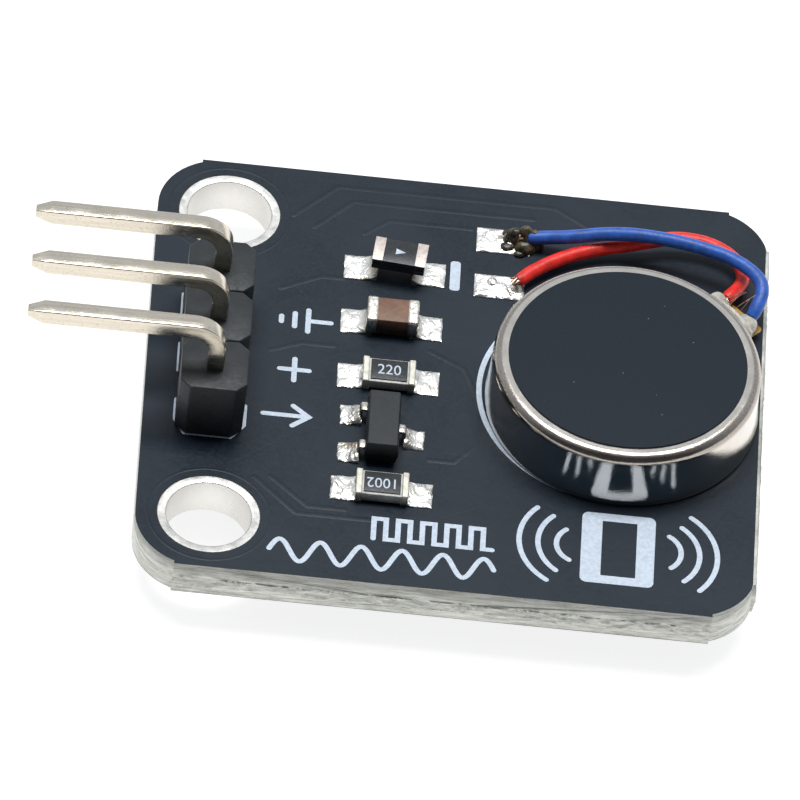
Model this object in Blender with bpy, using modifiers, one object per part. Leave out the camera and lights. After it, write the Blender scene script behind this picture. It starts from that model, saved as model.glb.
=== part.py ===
"""Coin vibration motor on its driver board, with a three-pin right-angle header.

Metres, +Z up. The origin is the centre of the board's underside, the header's pins point to -X,
and the motor stands on the board's +X half. The rotor turns about the motor's shaft.
"""

import math

import bmesh
import bpy
from mathutils import Matrix, Vector

MM = 0.001

# Board
BOARD_WIDTH = 23.0 * MM
BOARD_DEPTH = 20.6 * MM
BOARD_THICKNESS = 1.5 * MM
CORNER_RADIUS = 2.5 * MM
CORNER_OVERCUT = 0.05 * MM
CORNER_STOP_FRONT = 22.0  # degrees short of the front or back edge where the routed corner ends
CORNER_STOP_SIDE = 15.0  # the same, short of the right edge
SCORE_RUN = 0.12 * MM
SCORE_DEPTH_TOP = 0.65 * MM
SCORE_DEPTH_BOTTOM = 0.4 * MM
SCORE_OVERRUN = 0.3  # share by which a score's cutter runs past its slope at each end
CUTTER_MARGIN = 1.0 * MM

# Screw holes
SCREW_BORE = 3.15 * MM
SCREW_LAND_WIDTH = 0.335 * MM
SCREW_INSET_SIDE = 2.7 * MM
SCREW_INSET_FRONT = 2.6 * MM
PLATING = 0.05 * MM

# Header
PIN_COUNT = 3
PIN_PITCH = 2.54 * MM
PIN_WIDTH = 0.64 * MM
PIN_RISE = 4.44 * MM
PIN_REACH = 7.1 * MM
PIN_BEND_RADIUS = 0.95 * MM
PIN_TAIL = 1.4 * MM
PIN_TAPER = 0.6 * MM
PIN_TIP_SHARE = 0.5
HEADER_INSET = 2.45 * MM
HOUSING_WIDTH = 2.5 * MM
HOUSING_HEIGHT = 2.54 * MM
HOUSING_CHAMFER = 0.42 * MM
PIN_PAD = 1.6 * MM
PIN_SOLDER_HEIGHT = 0.95 * MM
PIN_SOLDER_CONE = ((1.0, 0.0), (0.72, 0.35), (0.62, 1.0))  # shares of the pad's radius and the height

# Chip parts, which stand in one column beside the motor
CHIP_COLUMN_GAP = 3.7 * MM  # from the motor's rim to the column's middle
CHIP_LENGTH = 1.96 * MM
CHIP_WIDTH = 1.25 * MM
CHIP_STANDOFF = 0.05 * MM
CHIP_END_METAL = 0.03 * MM
PAD_REACH = 1.92 * MM  # from a chip's middle to the outer edge of its pads
PAD_WIDTH = 1.24 * MM
PAD_TOE = 0.3 * MM
PAD_EDGE_HEIGHT = 0.12 * MM
FILLET_SHARES = (0.25, 0.5, 0.75)  # shares of a fillet's foot that its curve is drawn through
FILLET_POWER = 1.8
CHIP_EDGE = 0.03 * MM
CAP_EDGE = 0.05 * MM
EDGE_LIMIT = 0.1  # of a chip's height, the most that its edges are rounded
RESISTOR_HEIGHT = 0.5 * MM
RESISTOR_BAND = 0.25 * MM
RESISTOR_SOLDER_SHARE = 0.75
CAPACITOR_HEIGHT = 0.85 * MM
CAPACITOR_BAND = 0.45 * MM
CAPACITOR_SOLDER_SHARE = 0.6
DIODE_LENGTH = 2.05 * MM
DIODE_HEIGHT = 0.5 * MM
DIODE_STANDOFF = 0.6 * MM
DIODE_BAND = 0.4 * MM
DIODE_SHIFT = 0.12 * MM
DIODE_TURN = -5.5
DIODE_Y = 5.5 * MM
CAPACITOR_Y = 2.73 * MM
UPPER_RESISTOR_Y = -0.05 * MM
TRANSISTOR_Y = -3.0 * MM
LOWER_RESISTOR_Y = -5.75 * MM

# Transistor
TRANSISTOR_LENGTH = 2.9 * MM
TRANSISTOR_WIDTH = 1.3 * MM
TRANSISTOR_HEIGHT = 1.0 * MM
TRANSISTOR_STANDOFF = 0.1 * MM
TRANSISTOR_SHIFT = -0.12 * MM
TRANSISTOR_DRAFT = 0.1 * MM
LEAD_PITCH = 1.9 * MM
LEAD_WIDTH = 0.42 * MM
LEAD_SHEET = 0.13 * MM
LEAD_EXIT_HEIGHT = 0.55 * MM
LEAD_SHOULDER = 0.22 * MM
LEAD_PAD_START = 0.12 * MM
LEAD_REACH = 1.25 * MM
LEAD_PAD_REACH = 1.62 * MM
LEAD_PAD_WIDTH = 1.0 * MM
LEAD_SOLDER = 0.08 * MM

# Motor
MOTOR_DIAMETER = 10.0 * MM
MOTOR_HEIGHT = 2.35 * MM
MOTOR_EDGE_INSET = 0.3 * MM
MOTOR_Y = -0.14 * MM
CASE_WALL = 0.2 * MM
CASE_SHOULDER = 0.38 * MM
STICKER_DIAMETER_INSET = 0.55 * MM
STICKER_THICKNESS = 0.05 * MM
ADHESIVE_THICKNESS = 0.08 * MM
ADHESIVE_INSET = 0.4 * MM
SLOT_CLEARANCE = 0.02 * MM
BASE_THICKNESS = 0.2 * MM
SHAFT_DIAMETER = 0.8 * MM
FLEX_THICKNESS = 0.1 * MM
FLEX_INSET = 0.5 * MM
FLEX_HOLE_CLEARANCE = 0.05 * MM
TAB_WIDTH = 2.2 * MM
TAB_REACH = 1.75 * MM
TAB_ANGLE = 46.0
MAGNET_THICKNESS = 0.6 * MM
MAGNET_BORE = 3.8 * MM
MAGNET_INSET = 0.6 * MM
AIR_GAP = 0.2 * MM
WASHER_THICKNESS = 0.08 * MM
WASHER_DIAMETER = 1.7 * MM
BRUSH_SHEET = 0.06 * MM
BRUSH_WIDTH = 0.4 * MM
BRUSH_LENGTH = 1.9 * MM
BRUSH_OFFSET = 0.95 * MM
BRUSH_FOOT_SHARE = 0.3

# Rotor
BEARING_DIAMETER = 1.5 * MM
BEARING_CLEARANCE = 0.02 * MM
BEARING_NOSE = 0.1 * MM
ROTOR_CLEARANCE = 0.4 * MM
ROTOR_BOARD_THICKNESS = 0.15 * MM
ROTOR_TOP_CLEARANCE = 0.16 * MM
ROTOR_HALF_ANGLE = 95.0
ROTOR_BOSS = 2.6 * MM
ROTOR_REST_ANGLE = 200.0
COIL_ANGLE = 52.0
COIL_HALF_ANGLE = 28.0
COIL_HOLE = 0.8 * MM
WEIGHT_HALF_ANGLE = 19.0
WEIGHT_WALL = 0.12 * MM

# Leads, whose routes are given round the motor: degrees, distance outside the case, height over the board
LEAD_DIAMETER = 0.52 * MM
LEAD_BARE_SHARE = 0.45
LEAD_STEP = 0.45 * MM
RED_ROUTE = (
    (129.0, 1.88, 0.42), (126.2, 1.80, 0.43), (121.1, 1.94, 0.44), (113.5, 2.13, 0.45),
    (106.5, 2.31, 0.45), (98.2, 2.51, 0.47), (90.5, 2.69, 0.53), (84.2, 2.95, 0.64),
    (79.5, 3.21, 0.72), (74.8, 3.40, 0.75), (69.4, 3.54, 0.70), (64.0, 3.52, 0.60),
    (59.6, 3.30, 0.52), (56.8, 2.84, 0.50), (55.6, 2.26, 0.55), (55.2, 1.65, 0.66),
    (55.0, 0.95, 0.66),
)
BLUE_ROUTE = (
    (118.9, 3.79, 0.42), (116.9, 3.54, 0.47), (112.1, 3.24, 0.58), (105.4, 2.88, 0.82),
    (98.2, 2.72, 1.04), (90.9, 2.62, 1.20), (83.4, 2.56, 1.30), (75.7, 2.56, 1.35),
    (68.0, 2.65, 1.35), (61.0, 2.74, 1.35), (54.6, 2.72, 1.34), (49.7, 2.57, 1.30),
    (46.5, 2.23, 1.20), (44.5, 1.76, 1.00), (43.3, 1.40, 0.80), (42.0, 0.95, 0.66),
)
LEAD_PAD_LENGTH = 1.5 * MM
LEAD_PAD_DEPTH = 1.15 * MM
LEAD_SOLDER_HEIGHT = 0.5 * MM
LEAD_SOLDER_EDGE = 0.18 * MM
TAB_SOLDER_DIAMETER = 0.7 * MM
TAB_SOLDER_HEIGHT = 0.32 * MM
# Shares of the tab solder's radius and height, from the middle of its top to the middle of its foot
TAB_SOLDER_DOME = ((0.0, 1.0), (0.6, 0.9), (0.9, 0.5), (1.0, 0.0), (0.0, 0.0))
TAB_SOLDER_GAP = 0.03 * MM
GLUE_HEIGHT = 1.0 * MM
GLUE_THICKNESS = 0.2 * MM
GLUE_HALF_ANGLE = 12.0
GLUE_OFFSET = 2.0  # degrees from the tab's middle

# Fits
FIT = 0.01 * MM
ROUND_STEPS = 64
SMALL_STEPS = 24
CORNER_STEPS = 10
BEND_STEPS = 8

# Derived places
HALF_WIDTH = BOARD_WIDTH / 2
HALF_DEPTH = BOARD_DEPTH / 2
TOP = BOARD_THICKNESS
MOTOR_RADIUS = MOTOR_DIAMETER / 2
MOTOR_X = HALF_WIDTH - MOTOR_EDGE_INSET - MOTOR_RADIUS
CHIP_X = MOTOR_X - MOTOR_RADIUS - CHIP_COLUMN_GAP
HEADER_X = HEADER_INSET - HALF_WIDTH
BASE_Z = TOP + ADHESIVE_THICKNESS + FIT
CASE_TOP_Z = BASE_Z + MOTOR_HEIGHT
CASE_INNER_RADIUS = MOTOR_RADIUS - CASE_WALL
CASE_INNER_TOP_Z = CASE_TOP_Z - CASE_WALL
FLEX_Z = BASE_Z + BASE_THICKNESS + FIT
FLEX_TOP_Z = FLEX_Z + FLEX_THICKNESS
MAGNET_Z = FLEX_TOP_Z + FIT
MAGNET_TOP_Z = MAGNET_Z + MAGNET_THICKNESS
ROTOR_Z = MAGNET_TOP_Z + AIR_GAP
ROTOR_BODY_Z = ROTOR_Z + ROTOR_BOARD_THICKNESS + FIT
ROTOR_TOP_Z = CASE_INNER_TOP_Z - ROTOR_TOP_CLEARANCE
ROTOR_RADIUS = CASE_INNER_RADIUS - ROTOR_CLEARANCE
WASHER_Z = CASE_INNER_TOP_Z - FIT - WASHER_THICKNESS
BEARING_RADIUS = BEARING_DIAMETER / 2
COIL_ORBIT = (ROTOR_RADIUS + BEARING_RADIUS) / 2
COIL_RADIUS = COIL_ORBIT * math.sin(math.radians(COIL_HALF_ANGLE))

MODEL = "coin_vibration_module"


# ---------------------------------------------------------------- helpers


def clear_scene():
    for item in list(bpy.data.objects):
        bpy.data.objects.remove(item, do_unlink=True)


def make_collection(name):
    group = bpy.data.collections.new(name)
    bpy.context.scene.collection.children.link(group)
    return group


def make_material(name, colour, roughness, metallic=0.0):
    material = bpy.data.materials.new(name)
    material.use_nodes = True
    shader = material.node_tree.nodes["Principled BSDF"]
    shader.inputs["Base Color"].default_value = (*colour, 1.0)
    shader.inputs["Roughness"].default_value = roughness
    shader.inputs["Metallic"].default_value = metallic
    return material


def add_object(name, data, material=None, group=None):
    item = bpy.data.objects.new(name, data)
    (group or parts).objects.link(item)
    if material:
        data.materials.append(material)
    return item


def hide_cutter(item):
    item.hide_render = True
    item.display_type = "WIRE"
    return item


def smooth(item, angle=30.0):
    item.data.shade_smooth()
    item.data.set_sharp_from_angle(angle=math.radians(angle))


def round_edges(item, width, segments=2):
    bevel = item.modifiers.new("rounded_edges", "BEVEL")
    bevel.width = width
    bevel.segments = segments
    bevel.limit_method = "ANGLE"
    bevel.angle_limit = math.radians(30)


def box(name, size, centre, material=None, group=None):
    """A cuboid of the given size, standing with its middle at centre."""
    mesh = bpy.data.meshes.new(name)
    shape = bmesh.new()
    bmesh.ops.create_cube(shape, size=1.0, matrix=Matrix.Diagonal((*size, 1.0)))
    shape.to_mesh(mesh)
    shape.free()
    item = add_object(name, mesh, material, group)
    item.location = centre
    return item


def turned(name, profile, centre, material, steps=ROUND_STEPS, closed=True, group=None):
    """A profile of (radius, height) points turned about the vertical through centre.

    The profile runs from the top down its outer side, and back up the inside if it is closed.
    """
    mesh = bpy.data.meshes.new(name)
    points = [(radius, 0.0, height) for radius, height in profile]
    links = [(i, i + 1) for i in range(len(points) - 1)]
    if closed:
        links.append((len(points) - 1, 0))
    mesh.from_pydata(points, links, [])
    item = add_object(name, mesh, material, group)
    item.location = centre
    screw = item.modifiers.new("turned", "SCREW")
    screw.steps = steps
    screw.render_steps = steps
    screw.use_merge_vertices = True
    screw.merge_threshold = 1e-7
    screw.use_smooth_shade = False
    return item


def ring(name, inner, outer, bottom, top, centre, material, steps=ROUND_STEPS, group=None):
    """A flat washer shape between two radii and two heights."""
    profile = [(inner, top), (outer, top), (outer, bottom), (inner, bottom)]
    return turned(name, profile, centre, material, steps, True, group)


def disc(name, radius, bottom, top, centre, material=None, steps=ROUND_STEPS, group=None):
    profile = [(0.0, top), (radius, top), (radius, bottom), (0.0, bottom)]
    return turned(name, profile, centre, material, steps, False, group)


def plate(name, outlines, thickness, material=None, group=None):
    """Flat outlines filled and given a thickness; the first is the edge, the others are holes."""
    curve = bpy.data.curves.new(name, "CURVE")
    curve.dimensions = "2D"
    curve.fill_mode = "BOTH"
    curve.extrude = thickness / 2
    for outline in outlines:
        spline = curve.splines.new("POLY")
        spline.points.add(len(outline) - 1)
        for point, (x, y) in zip(spline.points, outline):
            point.co = (x, y, 0.0, 1.0)
        spline.use_cyclic_u = True
    return add_object(name, curve, material, group)


def standing_plate(name, outline, width, centre, material=None, group=None):
    """An outline in the upright X-Z plane, given a width along Y about its middle."""
    item = plate(name, [outline], width, material, group)
    item.rotation_euler = (math.radians(90), 0.0, 0.0)
    item.location = centre
    return item


def as_mesh(item):
    """Turns a curve object into a mesh object that modifiers can cut."""
    bpy.context.view_layer.update()
    evaluated = item.evaluated_get(bpy.context.evaluated_depsgraph_get())
    mesh = bpy.data.meshes.new_from_object(evaluated)
    shape = bmesh.new()
    shape.from_mesh(mesh)
    bmesh.ops.remove_doubles(shape, verts=shape.verts, dist=1e-7)
    shape.to_mesh(mesh)
    shape.free()
    name = item.name
    group = item.users_collection[0]
    matrix = item.matrix_world.copy()
    bpy.data.objects.remove(item, do_unlink=True)
    solid = bpy.data.objects.new(name, mesh)
    group.objects.link(solid)
    solid.matrix_world = matrix
    return solid


def cut(item, cutter):
    boolean = item.modifiers.new(cutter.name, "BOOLEAN")
    boolean.operation = "DIFFERENCE"
    boolean.solver = "EXACT"
    boolean.object = hide_cutter(cutter)


def arc(centre_x, centre_y, radius, start, stop, steps):
    """Points along an arc, from start to stop in degrees."""
    points = []
    for i in range(steps + 1):
        angle = math.radians(start + (stop - start) * i / steps)
        points.append((centre_x + radius * math.cos(angle), centre_y + radius * math.sin(angle)))
    return points


def full_circle(centre_x, centre_y, radius, steps=SMALL_STEPS):
    return arc(centre_x, centre_y, radius, 0.0, 360.0, steps)[:-1]


def rectangle(centre_x, centre_y, width, depth):
    return [
        (centre_x - width / 2, centre_y - depth / 2),
        (centre_x + width / 2, centre_y - depth / 2),
        (centre_x + width / 2, centre_y + depth / 2),
        (centre_x - width / 2, centre_y + depth / 2),
    ]


def swept_wire(name, points, radius, shares, material):
    """A round wire through points, whose radius at each point is a share of the full one."""
    curve = bpy.data.curves.new(name, "CURVE")
    curve.dimensions = "3D"
    curve.bevel_depth = radius
    curve.bevel_resolution = 2
    curve.use_fill_caps = True
    spline = curve.splines.new("POLY")
    spline.points.add(len(points) - 1)
    for point, place, share in zip(spline.points, points, shares):
        point.co = (*place, 1.0)
        point.radius = share
    return add_object(name, curve, material)


def smooth_route(points, step):
    """Points a step apart along a Catmull-Rom curve through the given points."""
    padded = [points[0] * 2 - points[1]] + points + [points[-1] * 2 - points[-2]]
    fine = []
    for p0, p1, p2, p3 in zip(padded, padded[1:], padded[2:], padded[3:]):
        count = max(1, round((p2 - p1).length / step))
        for i in range(count):
            t = i / count
            fine.append(
                (p1 * 2 + (p2 - p0) * t + (p0 * 2 - p1 * 5 + p2 * 4 - p3) * t * t
                 + (p1 * 3 - p0 - p2 * 3 + p3) * t * t * t) / 2
            )
    fine.append(points[-1])
    return fine


# ---------------------------------------------------------------- board


def board_outline():
    """The outer edge, anticlockwise: routed corners, and scored edges that stand proud of them."""
    reach_x = HALF_WIDTH + SCORE_RUN
    reach_y = HALF_DEPTH + SCORE_RUN
    corners = (
        (1, 1, CORNER_STOP_SIDE, 90.0 - CORNER_STOP_FRONT),
        (-1, 1, 90.0 + CORNER_STOP_FRONT, 180.0),
        (-1, -1, 180.0, 270.0 - CORNER_STOP_FRONT),
        (1, -1, 270.0 + CORNER_STOP_FRONT, 360.0 - CORNER_STOP_SIDE),
    )
    outline = []
    for side_x, side_y, start, stop in corners:
        centre_x = side_x * (HALF_WIDTH - CORNER_RADIUS)
        centre_y = side_y * (HALF_DEPTH - CORNER_RADIUS + CORNER_OVERCUT)
        bend = arc(centre_x, centre_y, CORNER_RADIUS, start, stop, CORNER_STEPS)
        if side_x > 0 and side_y > 0:
            outline += [(reach_x, bend[0][1])] + bend + [(bend[-1][0], reach_y)]
        elif side_y > 0:
            outline += [(bend[0][0], reach_y)] + bend
        elif side_x < 0:
            outline += bend + [(bend[-1][0], -reach_y)]
        else:
            outline += [(bend[0][0], -reach_y)] + bend + [(reach_x, bend[-1][1])]
    return outline


def screw_places():
    x = SCREW_INSET_SIDE - HALF_WIDTH
    y = HALF_DEPTH - SCREW_INSET_FRONT
    return {"front": (x, -y), "back": (x, y)}


def pin_places():
    middle = (PIN_COUNT - 1) / 2
    names = ("front", "middle", "back")
    return {name: (i - middle) * PIN_PITCH for i, name in enumerate(names)}


def score_cutter(name, turn, edge, length, depth, upper):
    """A long wedge that slopes one scored edge away from the board's upper or lower face."""
    past = 1 + SCORE_OVERRUN
    slope = [
        (-SCORE_RUN * SCORE_OVERRUN, depth * SCORE_OVERRUN),
        (SCORE_RUN * past, -depth * past),
        (SCORE_RUN + CUTTER_MARGIN, -depth * past),
        (SCORE_RUN + CUTTER_MARGIN, depth * SCORE_OVERRUN),
    ]
    height = TOP if upper else 0.0
    wedge = [(edge + x, height + (z if upper else -z)) for x, z in slope]
    item = standing_plate(name, wedge, length, (0.0, 0.0, 0.0), group=cutters)
    item = as_mesh(item)
    item.matrix_world = Matrix.Rotation(math.radians(turn), 4, "Z") @ item.matrix_world
    return item


def screw_hole_cutter(name, x, y):
    """A spool that cuts a screw hole with a shallow seat for the plated land at each end."""
    wall = SCREW_BORE / 2 + PLATING + FIT
    land = SCREW_BORE / 2 + SCREW_LAND_WIDTH + FIT
    seat = PLATING + FIT
    profile = [
        (0.0, TOP + seat), (land, TOP + seat), (land, TOP - seat), (wall, TOP - seat),
        (wall, seat), (land, seat), (land, -seat), (0.0, -seat),
    ]
    return turned(f"screw_hole_{name}", profile, (x, y, 0.0), None, ROUND_STEPS, False, cutters)


def build_board(material):
    holes = []
    for y in pin_places().values():
        holes.append(full_circle(HEADER_X, y, PIN_PAD / 2 + FIT))
    board = plate("circuit_board", [board_outline()] + holes, BOARD_THICKNESS)
    board.location = (0.0, 0.0, TOP / 2)
    board = as_mesh(board)
    board.data.materials.append(material)
    for name, (x, y) in screw_places().items():
        cut(board, screw_hole_cutter(name, x, y))
    for side, turn, edge, length in (
        ("right", 0.0, HALF_WIDTH, BOARD_DEPTH),
        ("back", 90.0, HALF_DEPTH, BOARD_WIDTH),
        ("front", -90.0, HALF_DEPTH, BOARD_WIDTH),
    ):
        for upper, depth in ((True, SCORE_DEPTH_TOP), (False, SCORE_DEPTH_BOTTOM)):
            name = f"score_{side}_{'upper' if upper else 'lower'}"
            cut(board, score_cutter(name, turn, edge, length + 2 * CUTTER_MARGIN, depth, upper))


def build_screw_barrels(material):
    """Plated linings of the screw holes, with a land at each end that lies flush with the board."""
    bore = SCREW_BORE / 2
    wall = bore + PLATING
    land = bore + SCREW_LAND_WIDTH
    profile = [
        (bore, TOP), (land, TOP), (land, TOP - PLATING), (wall, TOP - PLATING),
        (wall, PLATING), (land, PLATING), (land, 0.0), (bore, 0.0),
    ]
    for name, (x, y) in screw_places().items():
        smooth(turned(f"screw_barrel_{name}", profile, (x, y, 0.0), material))


# ---------------------------------------------------------------- header


def build_header_housing(material):
    """Three square cells with chamfered corners, so a notch divides each cell from the next."""
    half = HOUSING_WIDTH / 2
    inset = half - HOUSING_CHAMFER
    right = []
    left = []
    for y in pin_places().values():
        low = y - PIN_PITCH / 2
        high = y + PIN_PITCH / 2
        edge = [(inset, low), (half, low + HOUSING_CHAMFER), (half, high - HOUSING_CHAMFER)]
        right += edge
        left += [(-x, y_edge) for x, y_edge in edge]
    outline = right + [(inset, high), (-inset, high)] + left[::-1]
    outlines = [outline]
    for y in pin_places().values():
        outlines.append(rectangle(0.0, y, PIN_WIDTH + 2 * FIT, PIN_WIDTH + 2 * FIT))
    housing = plate("header_housing", outlines, HOUSING_HEIGHT, material)
    housing.location = (HEADER_X, 0.0, TOP + FIT + HOUSING_HEIGHT / 2)


def build_header_pins(material, solder):
    """Square pins that rise through the housing, turn towards -X and taper at both ends."""
    section = rectangle(0.0, 0.0, PIN_WIDTH, PIN_WIDTH)[::-1]
    square = plate("pin_section", [section], 0.0, group=cutters)
    square.data.fill_mode = "NONE"
    hide_cutter(square)
    height = TOP + PIN_RISE
    bend_x = HEADER_X - PIN_BEND_RADIUS
    bend_z = height - PIN_BEND_RADIUS
    bend = arc(bend_x, bend_z, PIN_BEND_RADIUS, 90.0, 0.0, BEND_STEPS)
    tip_x = HEADER_X - PIN_REACH
    path = [(tip_x, height), (tip_x + PIN_TAPER, height)] + bend
    path += [(HEADER_X, PIN_TAPER - PIN_TAIL), (HEADER_X, -PIN_TAIL)]
    shares = [PIN_TIP_SHARE] + [1.0] * (len(path) - 2) + [PIN_TIP_SHARE]
    hole = PIN_WIDTH * math.sqrt(0.5) + 2 * FIT
    pad = PIN_PAD / 2
    cone = [(hole, TOP), (pad, TOP)]
    cone += [(pad * wide, -PIN_SOLDER_HEIGHT * deep) for wide, deep in PIN_SOLDER_CONE]
    cone.append((hole, -PIN_SOLDER_HEIGHT))
    for name, y in pin_places().items():
        curve = bpy.data.curves.new(f"header_pin_{name}", "CURVE")
        curve.dimensions = "3D"
        curve.bevel_mode = "OBJECT"
        curve.bevel_object = square
        curve.use_fill_caps = True
        curve.twist_mode = "Z_UP"
        spline = curve.splines.new("POLY")
        spline.points.add(len(path) - 1)
        for point, (x, z), share in zip(spline.points, path, shares):
            point.co = (x, y, z, 1.0)
            point.radius = share
        add_object(f"header_pin_{name}", curve, material)
        smooth(turned(f"header_solder_{name}", cone, (HEADER_X, y, 0.0), solder, SMALL_STEPS))


# ---------------------------------------------------------------- chip parts


def solder_fillet(name, x, y, side, inner, edge, outer, seat, rise, width, solder):
    """A pad's solder: thin under the part, rising against its end and falling to the pad's edge.

    inner, edge and outer are distances from x: the toe under the part, the part's end, the pad's edge.
    seat is the height of the part's underside over the board, and rise is the fillet's top.
    """
    foot = outer - edge
    profile = [(inner, FIT), (inner, seat - FIT), (edge, seat - FIT)]
    if rise > seat:
        profile.append((edge, rise))
    for share in FILLET_SHARES:
        fall = (1.0 - share) ** FILLET_POWER
        profile.append((edge + foot * share, PAD_EDGE_HEIGHT + (rise - PAD_EDGE_HEIGHT) * fall))
    profile += [(outer, PAD_EDGE_HEIGHT), (outer, FIT)]
    outline = [(side * distance, height) for distance, height in profile]
    return standing_plate(name, outline, width, (x, y, TOP), solder)


def chip(name, x, y, length, height, band, seat, turn, rise, materials):
    """A two-ended chip: a ceramic body, a metal cap on each end and the solder under each cap."""
    body_material, end_material, solder = materials
    middle = TOP + seat + height / 2
    inset = CHIP_END_METAL + FIT
    body_size = (length - 2 * inset, CHIP_WIDTH - 2 * inset, height - 2 * inset)
    body = box(f"{name}_body", body_size, (x, y, middle), body_material)
    body.rotation_euler.z = math.radians(turn)
    round_edges(body, min(CHIP_EDGE, height * EDGE_LIMIT), 1)
    for end, side in (("left", -1), ("right", 1)):
        frame = bpy.data.objects.new(f"{name}_frame_{end}", None)
        cutters.objects.link(frame)
        frame.location = (x, y, middle)
        frame.rotation_euler.z = math.radians(turn)
        offset = side * (length - band) / 2
        cap = box(f"{name}_end_{end}", (band, CHIP_WIDTH, height), (offset, 0.0, 0.0), end_material)
        cap.parent = frame
        pocket_size = (band, CHIP_WIDTH - 2 * CHIP_END_METAL, height - 2 * CHIP_END_METAL)
        pocket_place = (offset - side * CHIP_END_METAL, 0.0, 0.0)
        pocket = box(f"{name}_pocket_{end}", pocket_size, pocket_place, group=cutters)
        pocket.parent = frame
        round_edges(cap, min(CAP_EDGE, height * EDGE_LIMIT), 2)
        cut(cap, pocket)
        if rise > seat:
            toe = length / 2 - PAD_TOE
            edge = length / 2 + FIT
        else:
            toe = length / 2 - band
            edge = length / 2
        solder_fillet(
            f"{name}_solder_{end}", CHIP_X, y, side, toe, edge, PAD_REACH, seat, rise, PAD_WIDTH, solder
        )


def build_transistor(case_material, lead_material, solder):
    """A three-lead moulded transistor, two leads to the left and one to the right."""
    x = CHIP_X + TRANSISTOR_SHIFT
    half = TRANSISTOR_WIDTH / 2
    parting = TRANSISTOR_STANDOFF + TRANSISTOR_HEIGHT / 2
    mesh = bpy.data.meshes.new("transistor_body")
    shape = bmesh.new()
    size = (TRANSISTOR_WIDTH, TRANSISTOR_LENGTH, TRANSISTOR_HEIGHT, 1.0)
    bmesh.ops.create_cube(shape, size=1.0, matrix=Matrix.Diagonal(size))
    everything = shape.verts[:] + shape.edges[:] + shape.faces[:]
    bmesh.ops.bisect_plane(shape, geom=everything, plane_co=(0, 0, 0), plane_no=(0, 0, 1))
    for vertex in shape.verts:
        if abs(vertex.co.z) > TRANSISTOR_HEIGHT / 4:
            vertex.co.x -= math.copysign(TRANSISTOR_DRAFT, vertex.co.x)
            vertex.co.y -= math.copysign(TRANSISTOR_DRAFT, vertex.co.y)
    shape.to_mesh(mesh)
    shape.free()
    body = add_object("transistor_body", mesh, case_material)
    body.location = (x, TRANSISTOR_Y, TOP + parting)
    leads = (("front", -1, -LEAD_PITCH / 2), ("back", -1, LEAD_PITCH / 2), ("right", 1, 0.0))
    low = LEAD_SOLDER
    knee = half + LEAD_SHOULDER
    middle = LEAD_EXIT_HEIGHT
    for name, side, offset in leads:
        outline = [
            (half + FIT, middle + LEAD_SHEET / 2), (knee, middle + LEAD_SHEET / 2),
            (knee + LEAD_SHEET * 0.7, middle), (knee + LEAD_SHEET, low + LEAD_SHEET * 1.3),
            (knee + LEAD_SHEET * 1.3, low + LEAD_SHEET), (LEAD_REACH, low + LEAD_SHEET),
            (LEAD_REACH, low), (knee + LEAD_SHEET * 0.3, low), (knee, low + LEAD_SHEET * 0.4),
            (knee - LEAD_SHEET * 0.2, middle - LEAD_SHEET / 2), (half + FIT, middle - LEAD_SHEET / 2),
        ]
        outline = [(side * distance, height) for distance, height in outline]
        place = (x, TRANSISTOR_Y + offset, TOP)
        standing_plate(f"transistor_lead_{name}", outline, LEAD_WIDTH, place, lead_material)
        solder_fillet(
            f"transistor_solder_{name}", x, TRANSISTOR_Y + offset, side, half + LEAD_PAD_START,
            LEAD_REACH + FIT, LEAD_PAD_REACH, low, low + LEAD_SHEET, LEAD_PAD_WIDTH, solder,
        )


# ---------------------------------------------------------------- motor


def motor_place(angle, distance, height):
    """A point round the motor: degrees, distance from its axis, height over the board."""
    turn = math.radians(angle)
    return Vector((MOTOR_X + distance * math.cos(turn), MOTOR_Y + distance * math.sin(turn), TOP + height))


def case_profile():
    """The drawn cup, from the middle of its top over the shoulder, down the wall and back inside."""
    outer_corner = arc(
        MOTOR_RADIUS - CASE_SHOULDER, CASE_TOP_Z - CASE_SHOULDER, CASE_SHOULDER, 90.0, 0.0, BEND_STEPS
    )
    inner_radius = CASE_SHOULDER - CASE_WALL
    inner_corner = arc(
        CASE_INNER_RADIUS - inner_radius, CASE_INNER_TOP_Z - inner_radius, inner_radius, 0.0, 90.0,
        BEND_STEPS // 2,
    )
    profile = [(0.0, CASE_TOP_Z)] + outer_corner
    profile += [(MOTOR_RADIUS, BASE_Z), (CASE_INNER_RADIUS, BASE_Z)] + inner_corner
    return profile + [(0.0, CASE_INNER_TOP_Z)]


def build_motor_shell(metal, sticker, adhesive):
    centre = (MOTOR_X, MOTOR_Y, 0.0)
    case = turned("motor_case", case_profile(), centre, metal, ROUND_STEPS, False)
    slot_length = CASE_WALL * 4
    slot = box(
        "tab_slot",
        (slot_length, TAB_WIDTH + 2 * SLOT_CLEARANCE, FLEX_TOP_Z - BASE_Z + 2 * SLOT_CLEARANCE),
        motor_place(TAB_ANGLE, MOTOR_RADIUS - CASE_WALL / 2, (FLEX_TOP_Z + BASE_Z) / 2 - TOP),
        group=cutters,
    )
    slot.rotation_euler.z = math.radians(TAB_ANGLE)
    cut(case, slot)
    smooth(case)
    disc(
        "motor_sticker", MOTOR_RADIUS - STICKER_DIAMETER_INSET, CASE_TOP_Z + FIT,
        CASE_TOP_Z + FIT + STICKER_THICKNESS, centre, sticker,
    )
    ring(
        "motor_base", SHAFT_DIAMETER / 2 + FIT, CASE_INNER_RADIUS - FIT, BASE_Z,
        BASE_Z + BASE_THICKNESS, centre, metal,
    )
    disc(
        "adhesive_pad", MOTOR_RADIUS - ADHESIVE_INSET, TOP + FIT, TOP + ADHESIVE_THICKNESS,
        centre, adhesive,
    )


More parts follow.
